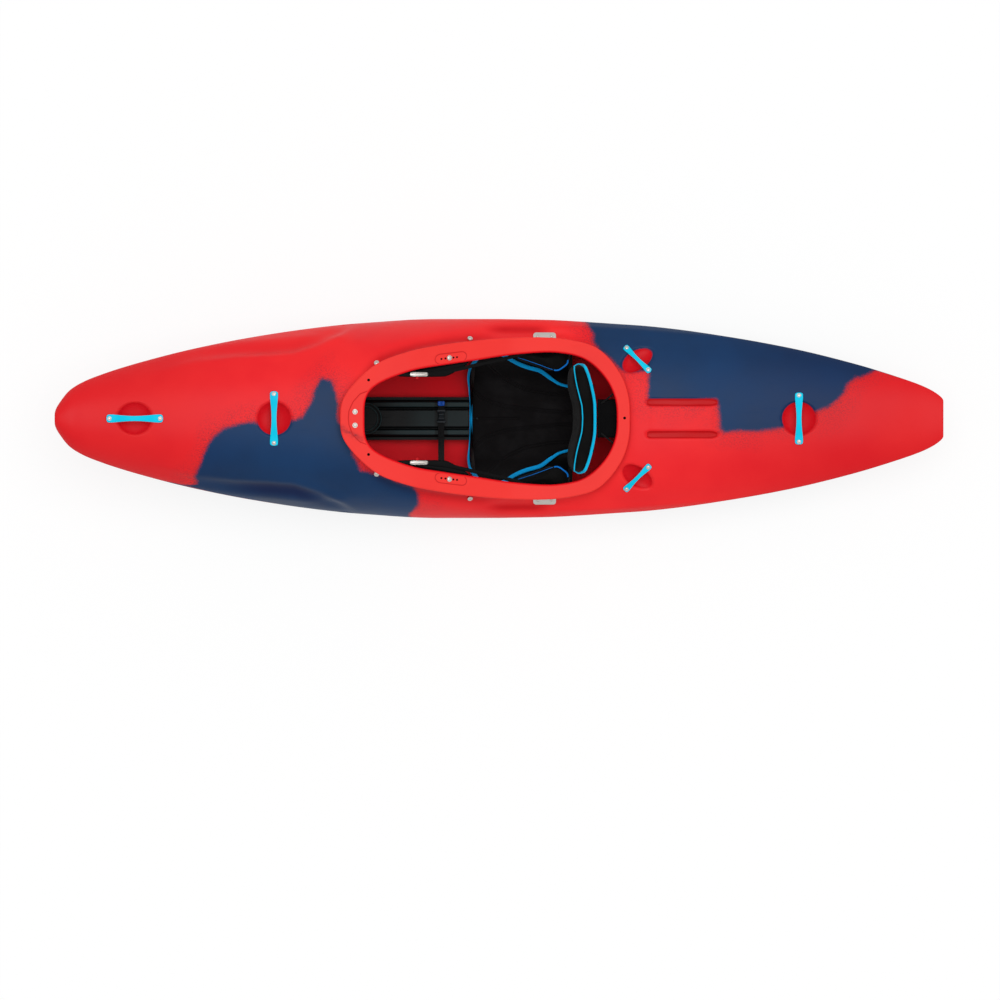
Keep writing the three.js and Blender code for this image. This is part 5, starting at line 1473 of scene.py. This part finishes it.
# Upper side: a thickness that swells away from the edges, with tufts and seams pressed in
def padTop(share, across):
    p = padShape
    x, y = padPlace(share, across)
    edge = 1 - np.abs(across) ** 6
    ends = 1 - np.abs(2 * share - 1) ** 10
    swell = np.sqrt(np.clip(edge * ends, 0, 1))
    tuft = p["dip"] * np.cos(across * math.pi * 1.5) ** 2 * share * edge * ends
    thick = p["thick"] * (0.35 + 0.65 * swell) - tuft
    places = np.stack([x.ravel(), np.abs(y).ravel()], axis=1)
    seams = np.zeros(len(places))
    for key, apart, width in p["seams"]:
        line = np.array([planPlace(px, py) for px, py in p[key]])
        line[:, 1] = np.abs(line[:, 1])
        seams = np.maximum(seams, bell(lineDistance(places, line) - apart, width))
    return x, y, padUnder(y) + thick - p["seamDepth"] * (seams.reshape(x.shape) * swell)


# The pad between its upper and under sides, a cyan tape round its edge and a button
def makeSeatPad():
    p = padShape
    share, across = np.meshgrid(np.linspace(0, 1, p["rows"]), np.linspace(-1, 1, p["columns"]), indexing="ij")
    upper = np.stack(padTop(share, across), axis=-1)
    x, y = padPlace(share[:, ::6], across[:, ::6])
    lower = np.stack([x, y, padUnder(y)], axis=-1)
    rings = np.concatenate([lower, upper[:, ::-1]], axis=1)
    skinPiece("seat_cushion", rings, padCloth, "cloth", "seat_pad")
    sideShare, frontAcross = np.linspace(0.995, 0.0, 90), np.linspace(1, -1, 110)
    shares = np.concatenate([sideShare, 0 * frontAcross, sideShare[::-1]])
    acrosses = np.concatenate([np.ones(len(sideShare)), frontAcross, -np.ones(len(sideShare))])
    ex, ey = padPlace(shares, acrosses)
    path = smoothPath(np.stack([ex, ey, padUnder(ey) + p["tapeRise"]], axis=1)[::4], 260)
    outline = oblongOutline(p["tapeWidth"], p["tapeHigh"], 0.003, 4)
    finishPiece(sweepTape("seat_edge_tape", path, outline, (0, 0, 1), cyanTape), "cloth")
    spot = (planPlace(p["buttonX"], 0)[0], 0, panShape["top"] + p["buttonRise"])
    skinPiece("seat_button", turnedRings(p["button"], spot, (0, 0, 1), 16), greyPlastic, "black")


makeSeatPad()

# Black wings that carry the pad's sides on, from the pan's own wings to the hip pads
wingShape = {"start": 0.02, "end": 0.2135, "inner": 0.1563, "outer": 0.193, "thick": 0.003, "drop": 0.0008}


def makeWings():
    w = wingShape
    along, out = np.linspace(w["start"], w["end"], 60), np.linspace(w["inner"], w["outer"], 16)
    x, y = np.meshgrid(along, out, indexing="ij")
    top = padUnder(y) - w["drop"]
    for word, sign in bothSides:
        upper = np.stack([x, sign * y, top], axis=-1)
        lower = np.stack([x, sign * y, top - w["thick"]], axis=-1)
        rings = np.concatenate([upper, lower[:, ::-1]], axis=1)
        skinPiece(f"seat_wing_{word}", rings, blackPlastic, "black", sharp=50)


makeWings()

# Hip pads: a padded wedge on each side, thinner towards the front
hipShape = {
    "outline": [(0.048, 0.190), (0.085, 0.178), (0.125, 0.163), (0.166, 0.149), (0.184, 0.148), (0.2, 0.158),
                (0.2135, 0.172), (0.2135, 0.195), (0.2135, 0.2135), (0.16, 0.2138), (0.1, 0.2138),
                (0.05, 0.2135)],
    "outer": 0.2138,
    "low": 0.084,
    "high": 0.226,
    "round": 0.016,
}


# The outline at every level, drawn in by a quarter circle towards its two ends
def hipRings(sign, steps=96):
    h = hipShape
    corner = np.array([(x, y, 0) for x, y in h["outline"]])
    path = smoothPath(np.concatenate([corner, corner[:1]]), steps + 1)[:-1, :2]
    path[:, 1] = np.minimum(path[:, 1], h["outer"])
    middle = path.mean(axis=0)
    level = np.sin(np.linspace(-1, 1, 40) * math.pi / 2) * 0.5 + 0.5
    z = h["low"] + (h["high"] - h["low"]) * level
    fromEnd = np.minimum(z - h["low"], h["high"] - z)
    inset = h["round"] * (1 - quarterRise(fromEnd / h["round"]))
    reach = np.linalg.norm(path - middle, axis=1)
    size = 1 - inset[:, None] / reach[None]
    xy = middle + (path - middle)[None] * size[..., None]
    rings = np.empty((len(z), steps, 3))
    rings[..., 0], rings[..., 1], rings[..., 2] = xy[..., 0], sign * xy[..., 1], z[:, None]
    return rings


def makeHipPads():
    for word, sign in bothSides:
        rings = hipRings(sign)
        points, faces = skinOver(rings)
        pad = makePiece(f"hip_cushion_{word}", points, faces, bandCloth)
        puff(pad, 0.005, 3, 0.005)
        finishPiece(pad, "cloth", f"hip_pad_{word}")
        top = rings[-7]
        x, y = top[:, 0], np.abs(top[:, 1])
        edge = smoothPath(top[(x > 0.056) & (x < 0.172) & (y < 0.19)][::3] + (0, 0, 0.0022), 60)
        corner = smoothPath(top[(x > 0.168) & (y < 0.186)][::2] + (0, 0, 0.001), 50)
        for part, line, radius, sides in (("trim", edge, 0.0009, 8), ("corner", corner, 0.0026, 10)):
            outline = roundOutline(radius, sides)
            finishPiece(sweepTape(f"hip_{part}_{word}", line, outline, (0, 0, 1), blueTape), "cloth")


makeHipPads()

# Backband: a curved pad with raised wings; rows across, outline in depth and height
bandShape = {
    "half": 0.168,
    "low": 0.148,
    "lowRise": 0.018,
    "lean": 0.24,
    "wingStraight": 0.95,
    "turnShare": 0.96,
    "sides": 64,
    "depthPower": 0.6,
    "levelPower": 0.34,
    "tapeRadius": 0.002,
    "rearExtra": 0.0027,
    "rows": np.array([
        (0, 0, 0.2575, 0.04, 0.279),
        (0.14, 0.2, 0.2555, 0.0415, 0.2795),
        (0.3, 0.42, 0.247, 0.046, 0.284),
        (0.45, 0.6, 0.2395, 0.047, 0.293),
        (0.6, 0.76, 0.2345, 0.0445, 0.303),
        (0.8, 0.91, 0.2315, 0.038, 0.313),
        (0.9, 0.96, 0.2315, 0.032, 0.303),
        (1, 1, 0.2345, 0.0185, 0.275),
    ]),
}


# At a share across: the place along Y, the front face, thickness, top, bottom and lean
def bandPlace(across):
    b = bandShape
    along = np.abs(across)
    out, front, thick, high = (smoothThrough(b["rows"][:, 0], b["rows"][:, k], along) for k in range(1, 5))
    low = b["low"] + b["lowRise"] * along**4
    lean = b["lean"] * (1 - b["wingStraight"] * along**3)
    return np.sign(across) * b["half"] * out, front, thick, high, low, lean


def bandPoint(across, depth, level):
    y, front, thick, high, low, lean = bandPlace(across)
    z = low + (high - low) * level
    x = front + thick * depth - (high - z) * lean
    return np.stack(np.broadcast_arrays(x, y, z), axis=-1)


# Rounded sections across the band, drawn in at its ends, and a tape round its upper edge that
# is thicker along the rear
def makeBackband():
    b = bandShape
    turn = math.pi / 2 * b["turnShare"]
    across = np.sin(np.linspace(-1, 1, 121) * turn) / math.sin(turn)
    angle = np.arange(b["sides"]) / b["sides"] * 2 * math.pi
    c, s = np.cos(angle), np.sin(angle)
    depth = 0.5 + 0.5 * np.sign(c) * np.abs(c) ** b["depthPower"]
    level = 0.5 + 0.5 * np.sign(s) * np.abs(s) ** b["levelPower"]
    rings = bandPoint(across[:, None], depth[None], level[None])
    end = 1 - np.clip((np.abs(across) - 0.97) / 0.03, 0, 1) ** 2 * 0.35
    middle = rings.mean(axis=1, keepdims=True)
    points, faces = skinOver(middle + (rings - middle) * end[:, None, None])
    band = makePiece("backband_cushion", points, faces, bandCloth, "backrest")
    puff(band, 0.005, 3, 0.004)
    finishPiece(band, "cloth", "backband")
    rear = bandPoint(np.linspace(-0.93, 0.93, 60), 0.97, 0.985)
    front = bandPoint(np.linspace(0.9, -0.9, 60), 0.02, 0.985)
    right, left = (bandPoint(np.array([side]), 0.5, 0.97) for side in (0.985, -0.985))
    path = smoothPath(np.concatenate([rear, right, front, left]), 420, closed=True)
    behind = np.interp(np.arange(len(path)), [0, 180, 215, 395, 420], [1, 1, 0, 0, 1])
    radius = b["tapeRadius"] + b["rearExtra"] * smoothStep(0.2, 0.8, behind)
    outline = roundOutline(1, 12)[None] * radius[:, None, None]
    tape = sweepTape("backband_edge_tape", path, outline, (0, 0, 1), brightTape, "backrest", closed=True)
    finishPiece(tape, "cloth")


makeBackband()
print("pads made")


# Height of the inner skin under the fittings, near the middle line
def floorHeight(x):
    return shellAt(x)["keel"] + wall


# Centre tray: its height is a smooth line across, carried along, with two ribs and a raised panel
trayShape = {
    "start": -0.46,
    "end": -0.093,
    "half": 0.066,
    "across": [(0, 0.05), (0.36, 0.05), (0.4, 0.049), (0.45, 0.0462), (0.48, 0.047), (0.545, 0.0592),
               (0.58, 0.06), (0.73, 0.06), (0.765, 0.0585), (0.85, 0.0446), (0.88, 0.044), (1, 0.044)],
    "panelHalf": 0.37,
    "panelStart": -0.272,
    "bandX": -0.178,
    "bandHalf": 0.017,
}


def makeTray():
    t = trayShape
    x = np.linspace(t["start"], t["end"], 140)
    share = np.linspace(-1, 1, 161)
    z = smoothThrough(*np.array(t["across"]).T, np.abs(share))
    count = len(share)
    rings = np.empty((len(x), count + 2, 3))
    rings[..., 0] = x[:, None]
    rings[:, :count, 1], rings[:, :count, 2] = share * t["half"], z
    rings[:, count, 1], rings[:, count + 1, 1] = t["half"], -t["half"]
    rings[:, count:, 2] = (floorHeight(x) + 0.0004)[:, None]
    points, faces = skinOver(rings)
    # painted highlight: the rib tops and the raised panel are painted lighter, less so under the strap
    rib = smoothStep(0.0545, 0.0596, points[:, 2]) * smoothStep(-0.4, -0.27, points[:, 0])
    side = 1 - smoothStep(t["panelHalf"] - 0.02, t["panelHalf"], np.abs(points[:, 1]) / t["half"])
    panel = 0.42 * side * smoothStep(t["panelStart"] - 0.03, t["panelStart"] + 0.04, points[:, 0])
    away = smoothStep(t["bandHalf"], t["bandHalf"] + 0.006, np.abs(points[:, 0] - t["bandX"]))
    crestHighlight = np.maximum(rib * 0.85, panel) * (points[:, 2] > 0.047) * (0.25 + 0.75 * away)
    tray = makePiece("tray_body", points, faces, trayPlastic, attributes={"crestHighlight": crestHighlight})
    finishPiece(tray, "black", "centre_tray", sharp=45)


# Cup in the tray: a turned wall with a flat lip and one ring on its floor
cupShape = {
    "x": -0.41,
    "base": 0.0585,
    "profile": [(0.0004, 0.004), (0.034, 0.004), (0.0352, 0.0062), (0.0366, 0.0066), (0.038, 0.0062),
                (0.0388, 0.0042), (0.0445, 0.0042), (0.045, 0.0048), (0.0452, 0.0205), (0.0459, 0.0217),
                (0.047, 0.022), (0.0481, 0.0217), (0.049, 0.0205), (0.049, 0.0), (0.0004, 0.0)],
}


def makeCup():
    c = cupShape
    profile = np.array(c["profile"])
    rings = turnedRings(profile, (c["x"], 0, c["base"]), (0, 0, 1), 72)
    points, faces = skinOver(rings)
    radius = np.hypot(points[:, 0] - c["x"], points[:, 1])
    height = points[:, 2] - c["base"]
    # painted highlight on the lip and on the ring of the floor
    lip = (height > 0.0204) * 1.1
    ring = (np.abs(radius - 0.0366) < 0.0015) * (height > 0.0055) * 0.9
    cup = makePiece("tray_cup", points, faces, trayPlastic, attributes={"crestHighlight": np.maximum(lip, ring)})
    finishPiece(cup, "black", sharp=50)


makeTray()
makeCup()

# Webbing strap over the tray to the port brace, with its ladder-lock buckle and its anchor
strapShape = {
    "x": -0.178,
    "wide": 0.019,
    "thick": 0.002,
    "base": 0.0613,
    "path": [(0.056, 0), (0.049, 0), (0.038, 0), (0, 0), (-0.038, 0), (-0.049, 0), (-0.066, 0.002),
             (-0.09, 0.03), (-0.118, 0.11)],
    "endY": -0.15,
    "endDrop": 0.053,
    "gap": 0.0003,
    "buckle": {"y": 0.007, "long": 0.041, "wide": 0.026, "waist": 0.0165, "thick": 0.0088},
    "anchor": {"y": 0.046, "long": 0.014, "wide": 0.022, "thick": 0.0058},
}


# Rings of a bar along a line: a rounded oblong of each width and height, standing on the low side
def barRings(along, middle, wide, low, high, corner, perCorner):
    base = oblongOutline(1, 1, corner, perCorner)
    rings = np.empty((len(along), len(base), 3))
    rings[..., 0] = along[:, None]
    rings[..., 1] = middle + base[:, 0] * wide[:, None]
    rings[..., 2] = np.broadcast_to(low, along.shape)[:, None] + (base[:, 1] + 0.5) * high[:, None]
    return rings


# The webbing, the buckle with its three bars across and the anchor clip with its dip
def makeStrap():
    s = strapShape
    line = [(s["x"], y, s["base"] + rise) for y, rise in s["path"]]
    line.append((s["x"], s["endY"], rimTop(np.array([s["x"]]))[0] - s["endDrop"]))
    outline = oblongOutline(s["thick"], s["wide"], 0.0006, 4)
    strap = sweepTape("tray_webbing", smoothPath(line, 220), outline, (1, 0, 0), webbingCloth)
    finishPiece(strap, "cloth", "tray_strap")
    top = s["base"] + s["thick"] / 2 + s["gap"]
    b = s["buckle"]
    share = np.linspace(-1, 1, 60)
    wide = b["waist"] + (b["wide"] - b["waist"]) * smoothStep(0.35, 0.75, np.abs(share))
    wide = wide * np.sqrt(np.clip(1 - np.clip((np.abs(share) - 0.9) / 0.1, 0, 1) ** 2 * 0.5, 0, 1))
    bars = bell(share - 0.55, 0.1) + bell(share + 0.55, 0.1) + 0.7 * bell(share, 0.14)
    high = b["thick"] * (0.5 + 0.5 * np.clip(bars, 0, 1)) * np.clip((1.02 - np.abs(share)) / 0.08, 0.4, 1)
    rings = barRings(b["y"] + share * b["long"] / 2, s["x"], wide, top, high, 0.2, 5)[..., [1, 0, 2]]
    skinPiece("strap_ladder_lock", rings, greyPlastic, "black", "strap_buckle", sharp=50)
    a = s["anchor"]
    share = np.linspace(-1, 1, 40)
    roundness = quarterRise((1 - np.abs(share)) / 0.28, 0.02)
    high = a["thick"] * (1 - 0.35 * bell(share, 0.25)) * (0.6 + 0.4 * roundness)
    rings = barRings(s["x"] + share * a["wide"] / 2, a["y"], a["long"] * roundness, top, high, 0.2, 5)
    skinPiece("strap_anchor_clip", rings, anchorPlastic, "anchor", "strap_anchor", sharp=50)


makeStrap()

# Thigh braces: a hooked section whose inner, edge and outer lines run along the rim
braceShape = {
    "rows": np.array([
        (-0.322, 0.133, 0.136, 0.153),
        (-0.3, 0.129, 0.141, 0.158),
        (-0.27, 0.128, 0.147, 0.166),
        (-0.24, 0.128, 0.154, 0.177),
        (-0.205, 0.128, 0.158, 0.182),
        (-0.17, 0.129, 0.164, 0.19),
        (-0.13, 0.146, 0.171, 0.195),
        (-0.092, 0.17, 0.176, 0.199),
    ]),
    "top": 0.0122,
    "step": 0.03,
    "shelf": 0.0302,
    "under": 0.05,
    "middle": 0.046,
    "back": 0.03,
    "lip": 0.003,
}


# Corners of closed loops cut twice, so that each edge is rounded
def roundCorners(loops, rounds=2, share=0.16):
    for _ in range(rounds):
        after = np.roll(loops, -1, axis=1)
        pair = np.stack([loops * (1 - share) + after * share, loops * share + after * (1 - share)], axis=2)
        loops = pair.reshape(loops.shape[0], -1, 3)
    return loops


def makeBraces():
    b = braceShape
    x = np.linspace(b["rows"][0, 0], b["rows"][-1, 0], 90)
    inner, edge, outer = (smoothThrough(b["rows"][:, 0], b["rows"][:, k], x) for k in (1, 2, 3))
    top = rimTop(x)
    for word, sign in bothSides:
        corners = [(outer, b["top"]), (edge, b["top"]), (edge - b["lip"], b["step"]), (inner, b["shelf"]),
                   (inner, b["under"]), (edge, b["middle"]), (outer, b["back"])]
        loops = np.stack([np.stack([x, sign * y, top - drop], axis=1) for y, drop in corners], axis=1)
        loops = roundCorners(loops)
        fromEnd = np.minimum(np.arange(len(x)), np.arange(len(x))[::-1]) / 5
        size = 0.55 + 0.45 * quarterRise(fromEnd)
        middle = loops.mean(axis=1, keepdims=True)
        rings = middle + (loops - middle) * size[:, None, None]
        skinPiece(f"thigh_hook_{word}", rings, blackPlastic, "black", f"thigh_brace_{word}", sharp=60)


makeBraces()

# Ratchets: two cheeks on a base, a toothed spool between them, a lever on top and a red tab
ratchetShape = {
    "ends": (-0.274, -0.218),
    "edges": (0.1295, 0.1425),
    "base": 0.0296,
    "top": 0.015,
    "sheet": 0.0025,
    "cheek": 0.0016,
    "cheekInset": 0.004,
    "cheekDrop": 0.0286,
    "spoolX": -0.252,
    "spoolRadius": 0.0052,
    "spoolGap": 0.0006,
    "teeth": 12,
    "lever": {"ends": (-0.2715, -0.2225), "edges": (0.1305, 0.14), "drops": (0.0146, 0.0109)},
    "tab": {"reach": 0.005, "out": 0.008, "drops": (0.0294, 0.0236)},
}


# A bar along X under the rim's slope: its ends, its inner and outer edges, and how far its
# under and upper sides are below the rim; its width tapers, and its nose is a share of its length
def slopedBar(name, ends, edges, drops, sign, *finish, body=shellBody, taper=0.0, nose=0.3):
    share = np.linspace(0, 1, 48)
    x = ends[0] + (ends[1] - ends[0]) * share
    roundness = quarterRise(np.minimum(share, 1 - share) / nose, 0.05)
    wide = (edges[1] - edges[0]) * roundness * (1 - taper * share)
    high = (drops[0] - drops[1]) * (0.55 + 0.45 * roundness)
    rings = barRings(x, sum(edges) / 2, wide, rimTop(x) - drops[0], high, 0.22, 4)
    skinPiece(name, rings * (1, sign, 1), *finish, sharp=50, body=body)


def makeRatchets():
    r = ratchetShape
    (start, end), (inner, outer) = r["ends"], r["edges"]
    cheekEnds = start + r["cheekInset"], end - r["cheekInset"]
    gap, spoolX, lever, tab = r["spoolGap"], r["spoolX"], r["lever"], r["tab"]
    z = rimTop(np.array([spoolX]))[0] - (r["base"] + r["top"]) / 2
    long = outer - inner - 2 * r["cheek"] - gap
    profile = [(0.0004, gap), (r["spoolRadius"], gap), (r["spoolRadius"], long), (0.0004, long)]
    tooth = 1 - 0.16 * (np.arange(r["teeth"] * 4) % 4 < 2)
    steel = steelFinish, "steel"
    for word, sign in bothSides:
        name = f"ratchet_{word}"
        drops = r["base"], r["base"] - r["sheet"]
        slopedBar(name + "_base", r["ends"], r["edges"], drops, sign, *steel, name, nose=0.12)
        for k, y in enumerate((inner, outer - r["cheek"])):
            edges, drops = (y, y + r["cheek"]), (r["cheekDrop"], r["top"])
            slopedBar(f"{name}_cheek_{k + 1}", cheekEnds, edges, drops, sign, *steel, nose=0.35)
        spot = (spoolX, sign * (inner + r["cheek"]), z)
        rings = turnedRings(profile, spot, (0, sign, 0), r["teeth"] * 4)
        scaleRows(rings, (1, 2), tooth)
        skinPiece(name + "_spool", rings, *steel, sharp=25)
        slopedBar(name + "_handle", lever["ends"], lever["edges"], lever["drops"], sign, *steel,
                  f"ratchet_lever_{word}", body=f"{word}_lever", taper=0.25)
        tabEnds, tabEdges = (spoolX - tab["reach"], spoolX + tab["reach"]), (inner - tab["out"], inner)
        slopedBar(name + "_tab", tabEnds, tabEdges, tab["drops"], sign, tabPlastic, "anchor")


makeRatchets()

# Ladder straps: a ribbon with a ridge every few millimetres
ladderShape = {
    "wide": 0.011,
    "thick": 0.003,
    "pitch": 0.0034,
    "perTooth": 5,
    "path": [(-0.2175, 0.138, 0.024), (-0.19, 0.141, 0.025), (-0.15, 0.146, 0.026), (-0.11, 0.155, 0.027),
             (-0.07, 0.165, 0.028), (-0.02, 0.176, 0.029), (0.04, 0.19, 0.03), (0.09, 0.205, 0.03),
             (0.13, 0.2145, 0.03)],
}


def makeLadders():
    s = ladderShape
    x, y, drop = np.array(s["path"]).T
    z = rimTop(x) - drop
    for word, sign in bothSides:
        rough = np.stack([x, sign * y, z], axis=1)
        total = np.linalg.norm(np.diff(rough, axis=0), axis=1).sum()
        count = int(total / s["pitch"]) * s["perTooth"]
        path = smoothPath(rough, count)
        ridge = np.where(np.arange(count) % s["perTooth"] < 2, 1.0, 0.6)
        outline = oblongOutline(s["wide"], s["thick"], 0.0006, 3)[None] * np.ones((count, 1, 1))
        outline[..., 1] = np.where(outline[..., 1] > 0, outline[..., 1] * ridge[:, None], outline[..., 1])
        strap = sweep(f"ladder_{word}", path, outline, (0, 0, 1), blackPlastic)
        finishPiece(strap, "black", f"ladder_strap_{word}", sharp=35)


makeLadders()

# Foam pillars between the floor and the inside of the deck, their cut sides faintly waved
pillarShape = {
    "front": (-1.025, -0.462, 0.03),
    "rear": (0.304, 0.85, 0.059),
    "corner": 0.006,
    "gap": 0.0012,
    "lift": 0.0006,
    "wave": 0.00015,
}


def makePillars():
    p = pillarShape
    share = np.linspace(-1, 1, 41)
    lip = p["corner"] * (1 - quarterRise((1 - np.abs(share)) / 0.1))
    for key in ("front", "rear"):
        start, end, half = p[key]
        x = np.linspace(start, end, 150)
        gx, gy = np.meshgrid(x, half * share, indexing="ij")
        tilt = slopeNormal(deckHeight, gx, gy)[..., 2]
        skin = deckHeight(gx.ravel(), gy.ravel()).reshape(gx.shape)
        top = skin - (dishes(gx, gy)[0] + wall) / tilt - p["gap"] - lip
        low = floorHeight(x)[:, None] + p["lift"] + lip
        wave = p["wave"] / half * np.cos(np.linspace(0, 60 * math.pi, len(x)))[:, None]
        upper = np.stack([gx, gy * (1 - wave), top], axis=-1)
        lower = np.stack([gx, gy * (1 - wave), low], axis=-1)
        rings = np.concatenate([upper, lower[:, ::-1]], axis=1)
        skinPiece(f"foam_pillar_{key}", rings, foamBlack, "foam", f"{key}_pillar", sharp=50)


makePillars()

# Foot rails: a bar on two spacers, bolted through the hull side
railShape = {
    "ends": (-0.77, -0.412),
    "bolts": (-0.5079, -0.42987),
    "z": 0.146,
    "standOff": 0.02,
    "thick": 0.008,
    "high": 0.02,
    "spacer": 0.009,
}


def besideHull(x):
    return sideOffset(np.array([x]), np.array([railShape["z"]]))[0]


def makeFootRails():
    r = railShape
    reach = [besideHull(x) - wall - r["standOff"] for x in r["ends"]]
    for word, sign in bothSides:
        ends = [(x, sign * y, r["z"]) for x, y in zip(r["ends"], reach)]
        path = smoothPath(ends, 60)
        outline = oblongOutline(r["thick"], r["high"], 0.002, 4)
        rail = sweep(f"rail_{word}", path, outline, (0, 0, 1), steelFinish)
        finishPiece(rail, "steel", f"foot_rail_{word}", sharp=40)
        for k, x in enumerate(r["bolts"]):
            probe = 0.006
            z = np.array([r["z"] - probe, r["z"] + probe])
            slope = np.diff(sideOffset(np.array([x, x]), z))[0] / (2 * probe)
            turn = (besideHull(x + probe) - besideHull(x - probe)) / (2 * probe)
            axis = unit(np.array([-turn, sign, -slope]))
            point = np.array([x, sign * besideHull(x), r["z"]])
            makeBolt(f"rail_{word}_bolt_{k + 1}", point - axis * 0.0022, axis)
            inner = point - axis * (wall + 0.0005)
            long = abs(inner[1]) - np.interp(x, r["ends"], reach)
            profile = [(0.0004, 0), (r["spacer"], 0), (r["spacer"], -long), (0.0004, -long)]
            rings = turnedRings(profile, inner, axis, 28)
            skinPiece(f"rail_{word}_spacer_{k + 1}", rings, steelFinish, "steel", sharp=40)


makeFootRails()

# Foam faces of the footplates, with rounded edges and three shallow channels, one above another
def makeFootFoam():
    for word in ("left", "right"):
        low, high = (np.array(corner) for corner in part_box(f"footplate_foam_{word}"))
        rows, columns = 60, 90
        v, u = np.meshgrid(np.linspace(-1, 1, rows), np.linspace(-1, 1, columns), indexing="ij")
        y = (low[1] + high[1]) / 2 + u * (high[1] - low[1]) / 2
        z = (low[2] + high[2]) / 2 + v * (high[2] - low[2]) / 2
        edge = np.minimum((1 - np.abs(u)) * (high[1] - low[1]), (1 - np.abs(v)) * (high[2] - low[2])) / 2
        roundness = quarterRise(edge / 0.003)
        thick = (high[0] - low[0]) * (0.6 + 0.4 * roundness)
        for line in (-0.5, 0, 0.5):
            thick = thick - 0.0018 * bell((v - line) * 0.08, 0.0025) * roundness
        face = np.stack([low[0] + thick, y, z], axis=-1)
        back = np.stack([np.full_like(y, low[0]), y, z], axis=-1)
        rings = np.concatenate([face, back[:, ::-1]], axis=1)
        finish = foamBlack, "foam", f"footplate_foam_{word}"
        foam = skinPiece(f"footplate_pad_{word}", rings, *finish, sharp=50, body=f"{word}_footrest")


makeFootFoam()

# CAD nodes that keep their own shape get their finish
for node in ("seat_pan", "backband_frame", "footplate_left", "footplate_right"):
    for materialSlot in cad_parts[node].material_slots:
        materialSlot.material = blackPlastic
print("fittings made")


# A white floor and a plain even light
def makeFloor():
    size = 12.0
    mesh = bpy.data.meshes.new("floor")
    corners = [(x * size, y * size, -0.001) for x, y in ((-1, -1), (1, -1), (1, 1), (-1, 1))]
    mesh.from_pydata(corners, [], [(0, 1, 2, 3)])
    floor = bpy.data.objects.new("floor", mesh)
    bpy.context.scene.collection.objects.link(floor)
    material, tree, shader = nodeMaterial("floorWhite")[:3]
    feed(tree, shader, {"Base Color": (0.8, 0.8, 0.8, 1), "Roughness": 0.9})
    glow = newNode(tree, "Emission", {"Color": (1, 1, 1, 1), "Strength": 1.04})
    path, seen = seenDirectly(tree)
    seen = mathNode(tree, "MAXIMUM", seen, path["Is Transmission Ray"])
    share = mathNode(tree, "MULTIPLY", seen, 0.8)
    mix = newNode(tree, "MixShader", {"Fac": share, 1: shader.outputs["BSDF"], 2: glow.outputs["Emission"]})
    feed(tree, tree.nodes["Material Output"], {"Surface": mix.outputs["Shader"]})
    mesh.materials.append(material)


# The light path's outputs, and 1 where the camera or a reflection sees the thing itself
def seenDirectly(tree):
    path = newNode(tree, "LightPath").outputs
    return path, mathNode(tree, "MAXIMUM", path["Is Camera Ray"], path["Is Glossy Ray"])


makeFloor()


# A wide sun whose light comes from the given direction
def makeSun(name, energy, direction, angle):
    lamp = bpy.data.lights.new(name, "SUN")
    lamp.energy, lamp.angle = energy, angle
    piece = bpy.data.objects.new(name, lamp)
    bpy.context.scene.collection.objects.link(piece)
    z = unit(np.array(direction, float))
    x = unit(np.cross([0.0, 1.0, 0.001], z))
    piece.matrix_world = mathutils.Matrix(np.stack([x, np.cross(z, x), z], axis=1).tolist()).to_4x4()


def makeWorld():
    world = bpy.data.worlds.new("studio")
    bpy.context.scene.world = world
    world.use_nodes = True
    tree = world.node_tree
    tree.nodes.clear()
    strength = rangeNode(tree, seenDirectly(tree)[1], 0, 1, 0.55, 1.0)
    background = newNode(tree, "Background", {"Color": (1, 1, 1, 1), "Strength": strength})
    newNode(tree, "OutputWorld", {"Surface": background.outputs["Background"]})


makeSun("overhead", 1.6, (0.1, 0.15, 1.0), math.radians(50))
makeWorld()
bpy.context.scene.view_settings.view_transform = "Standard"
print("stage set")
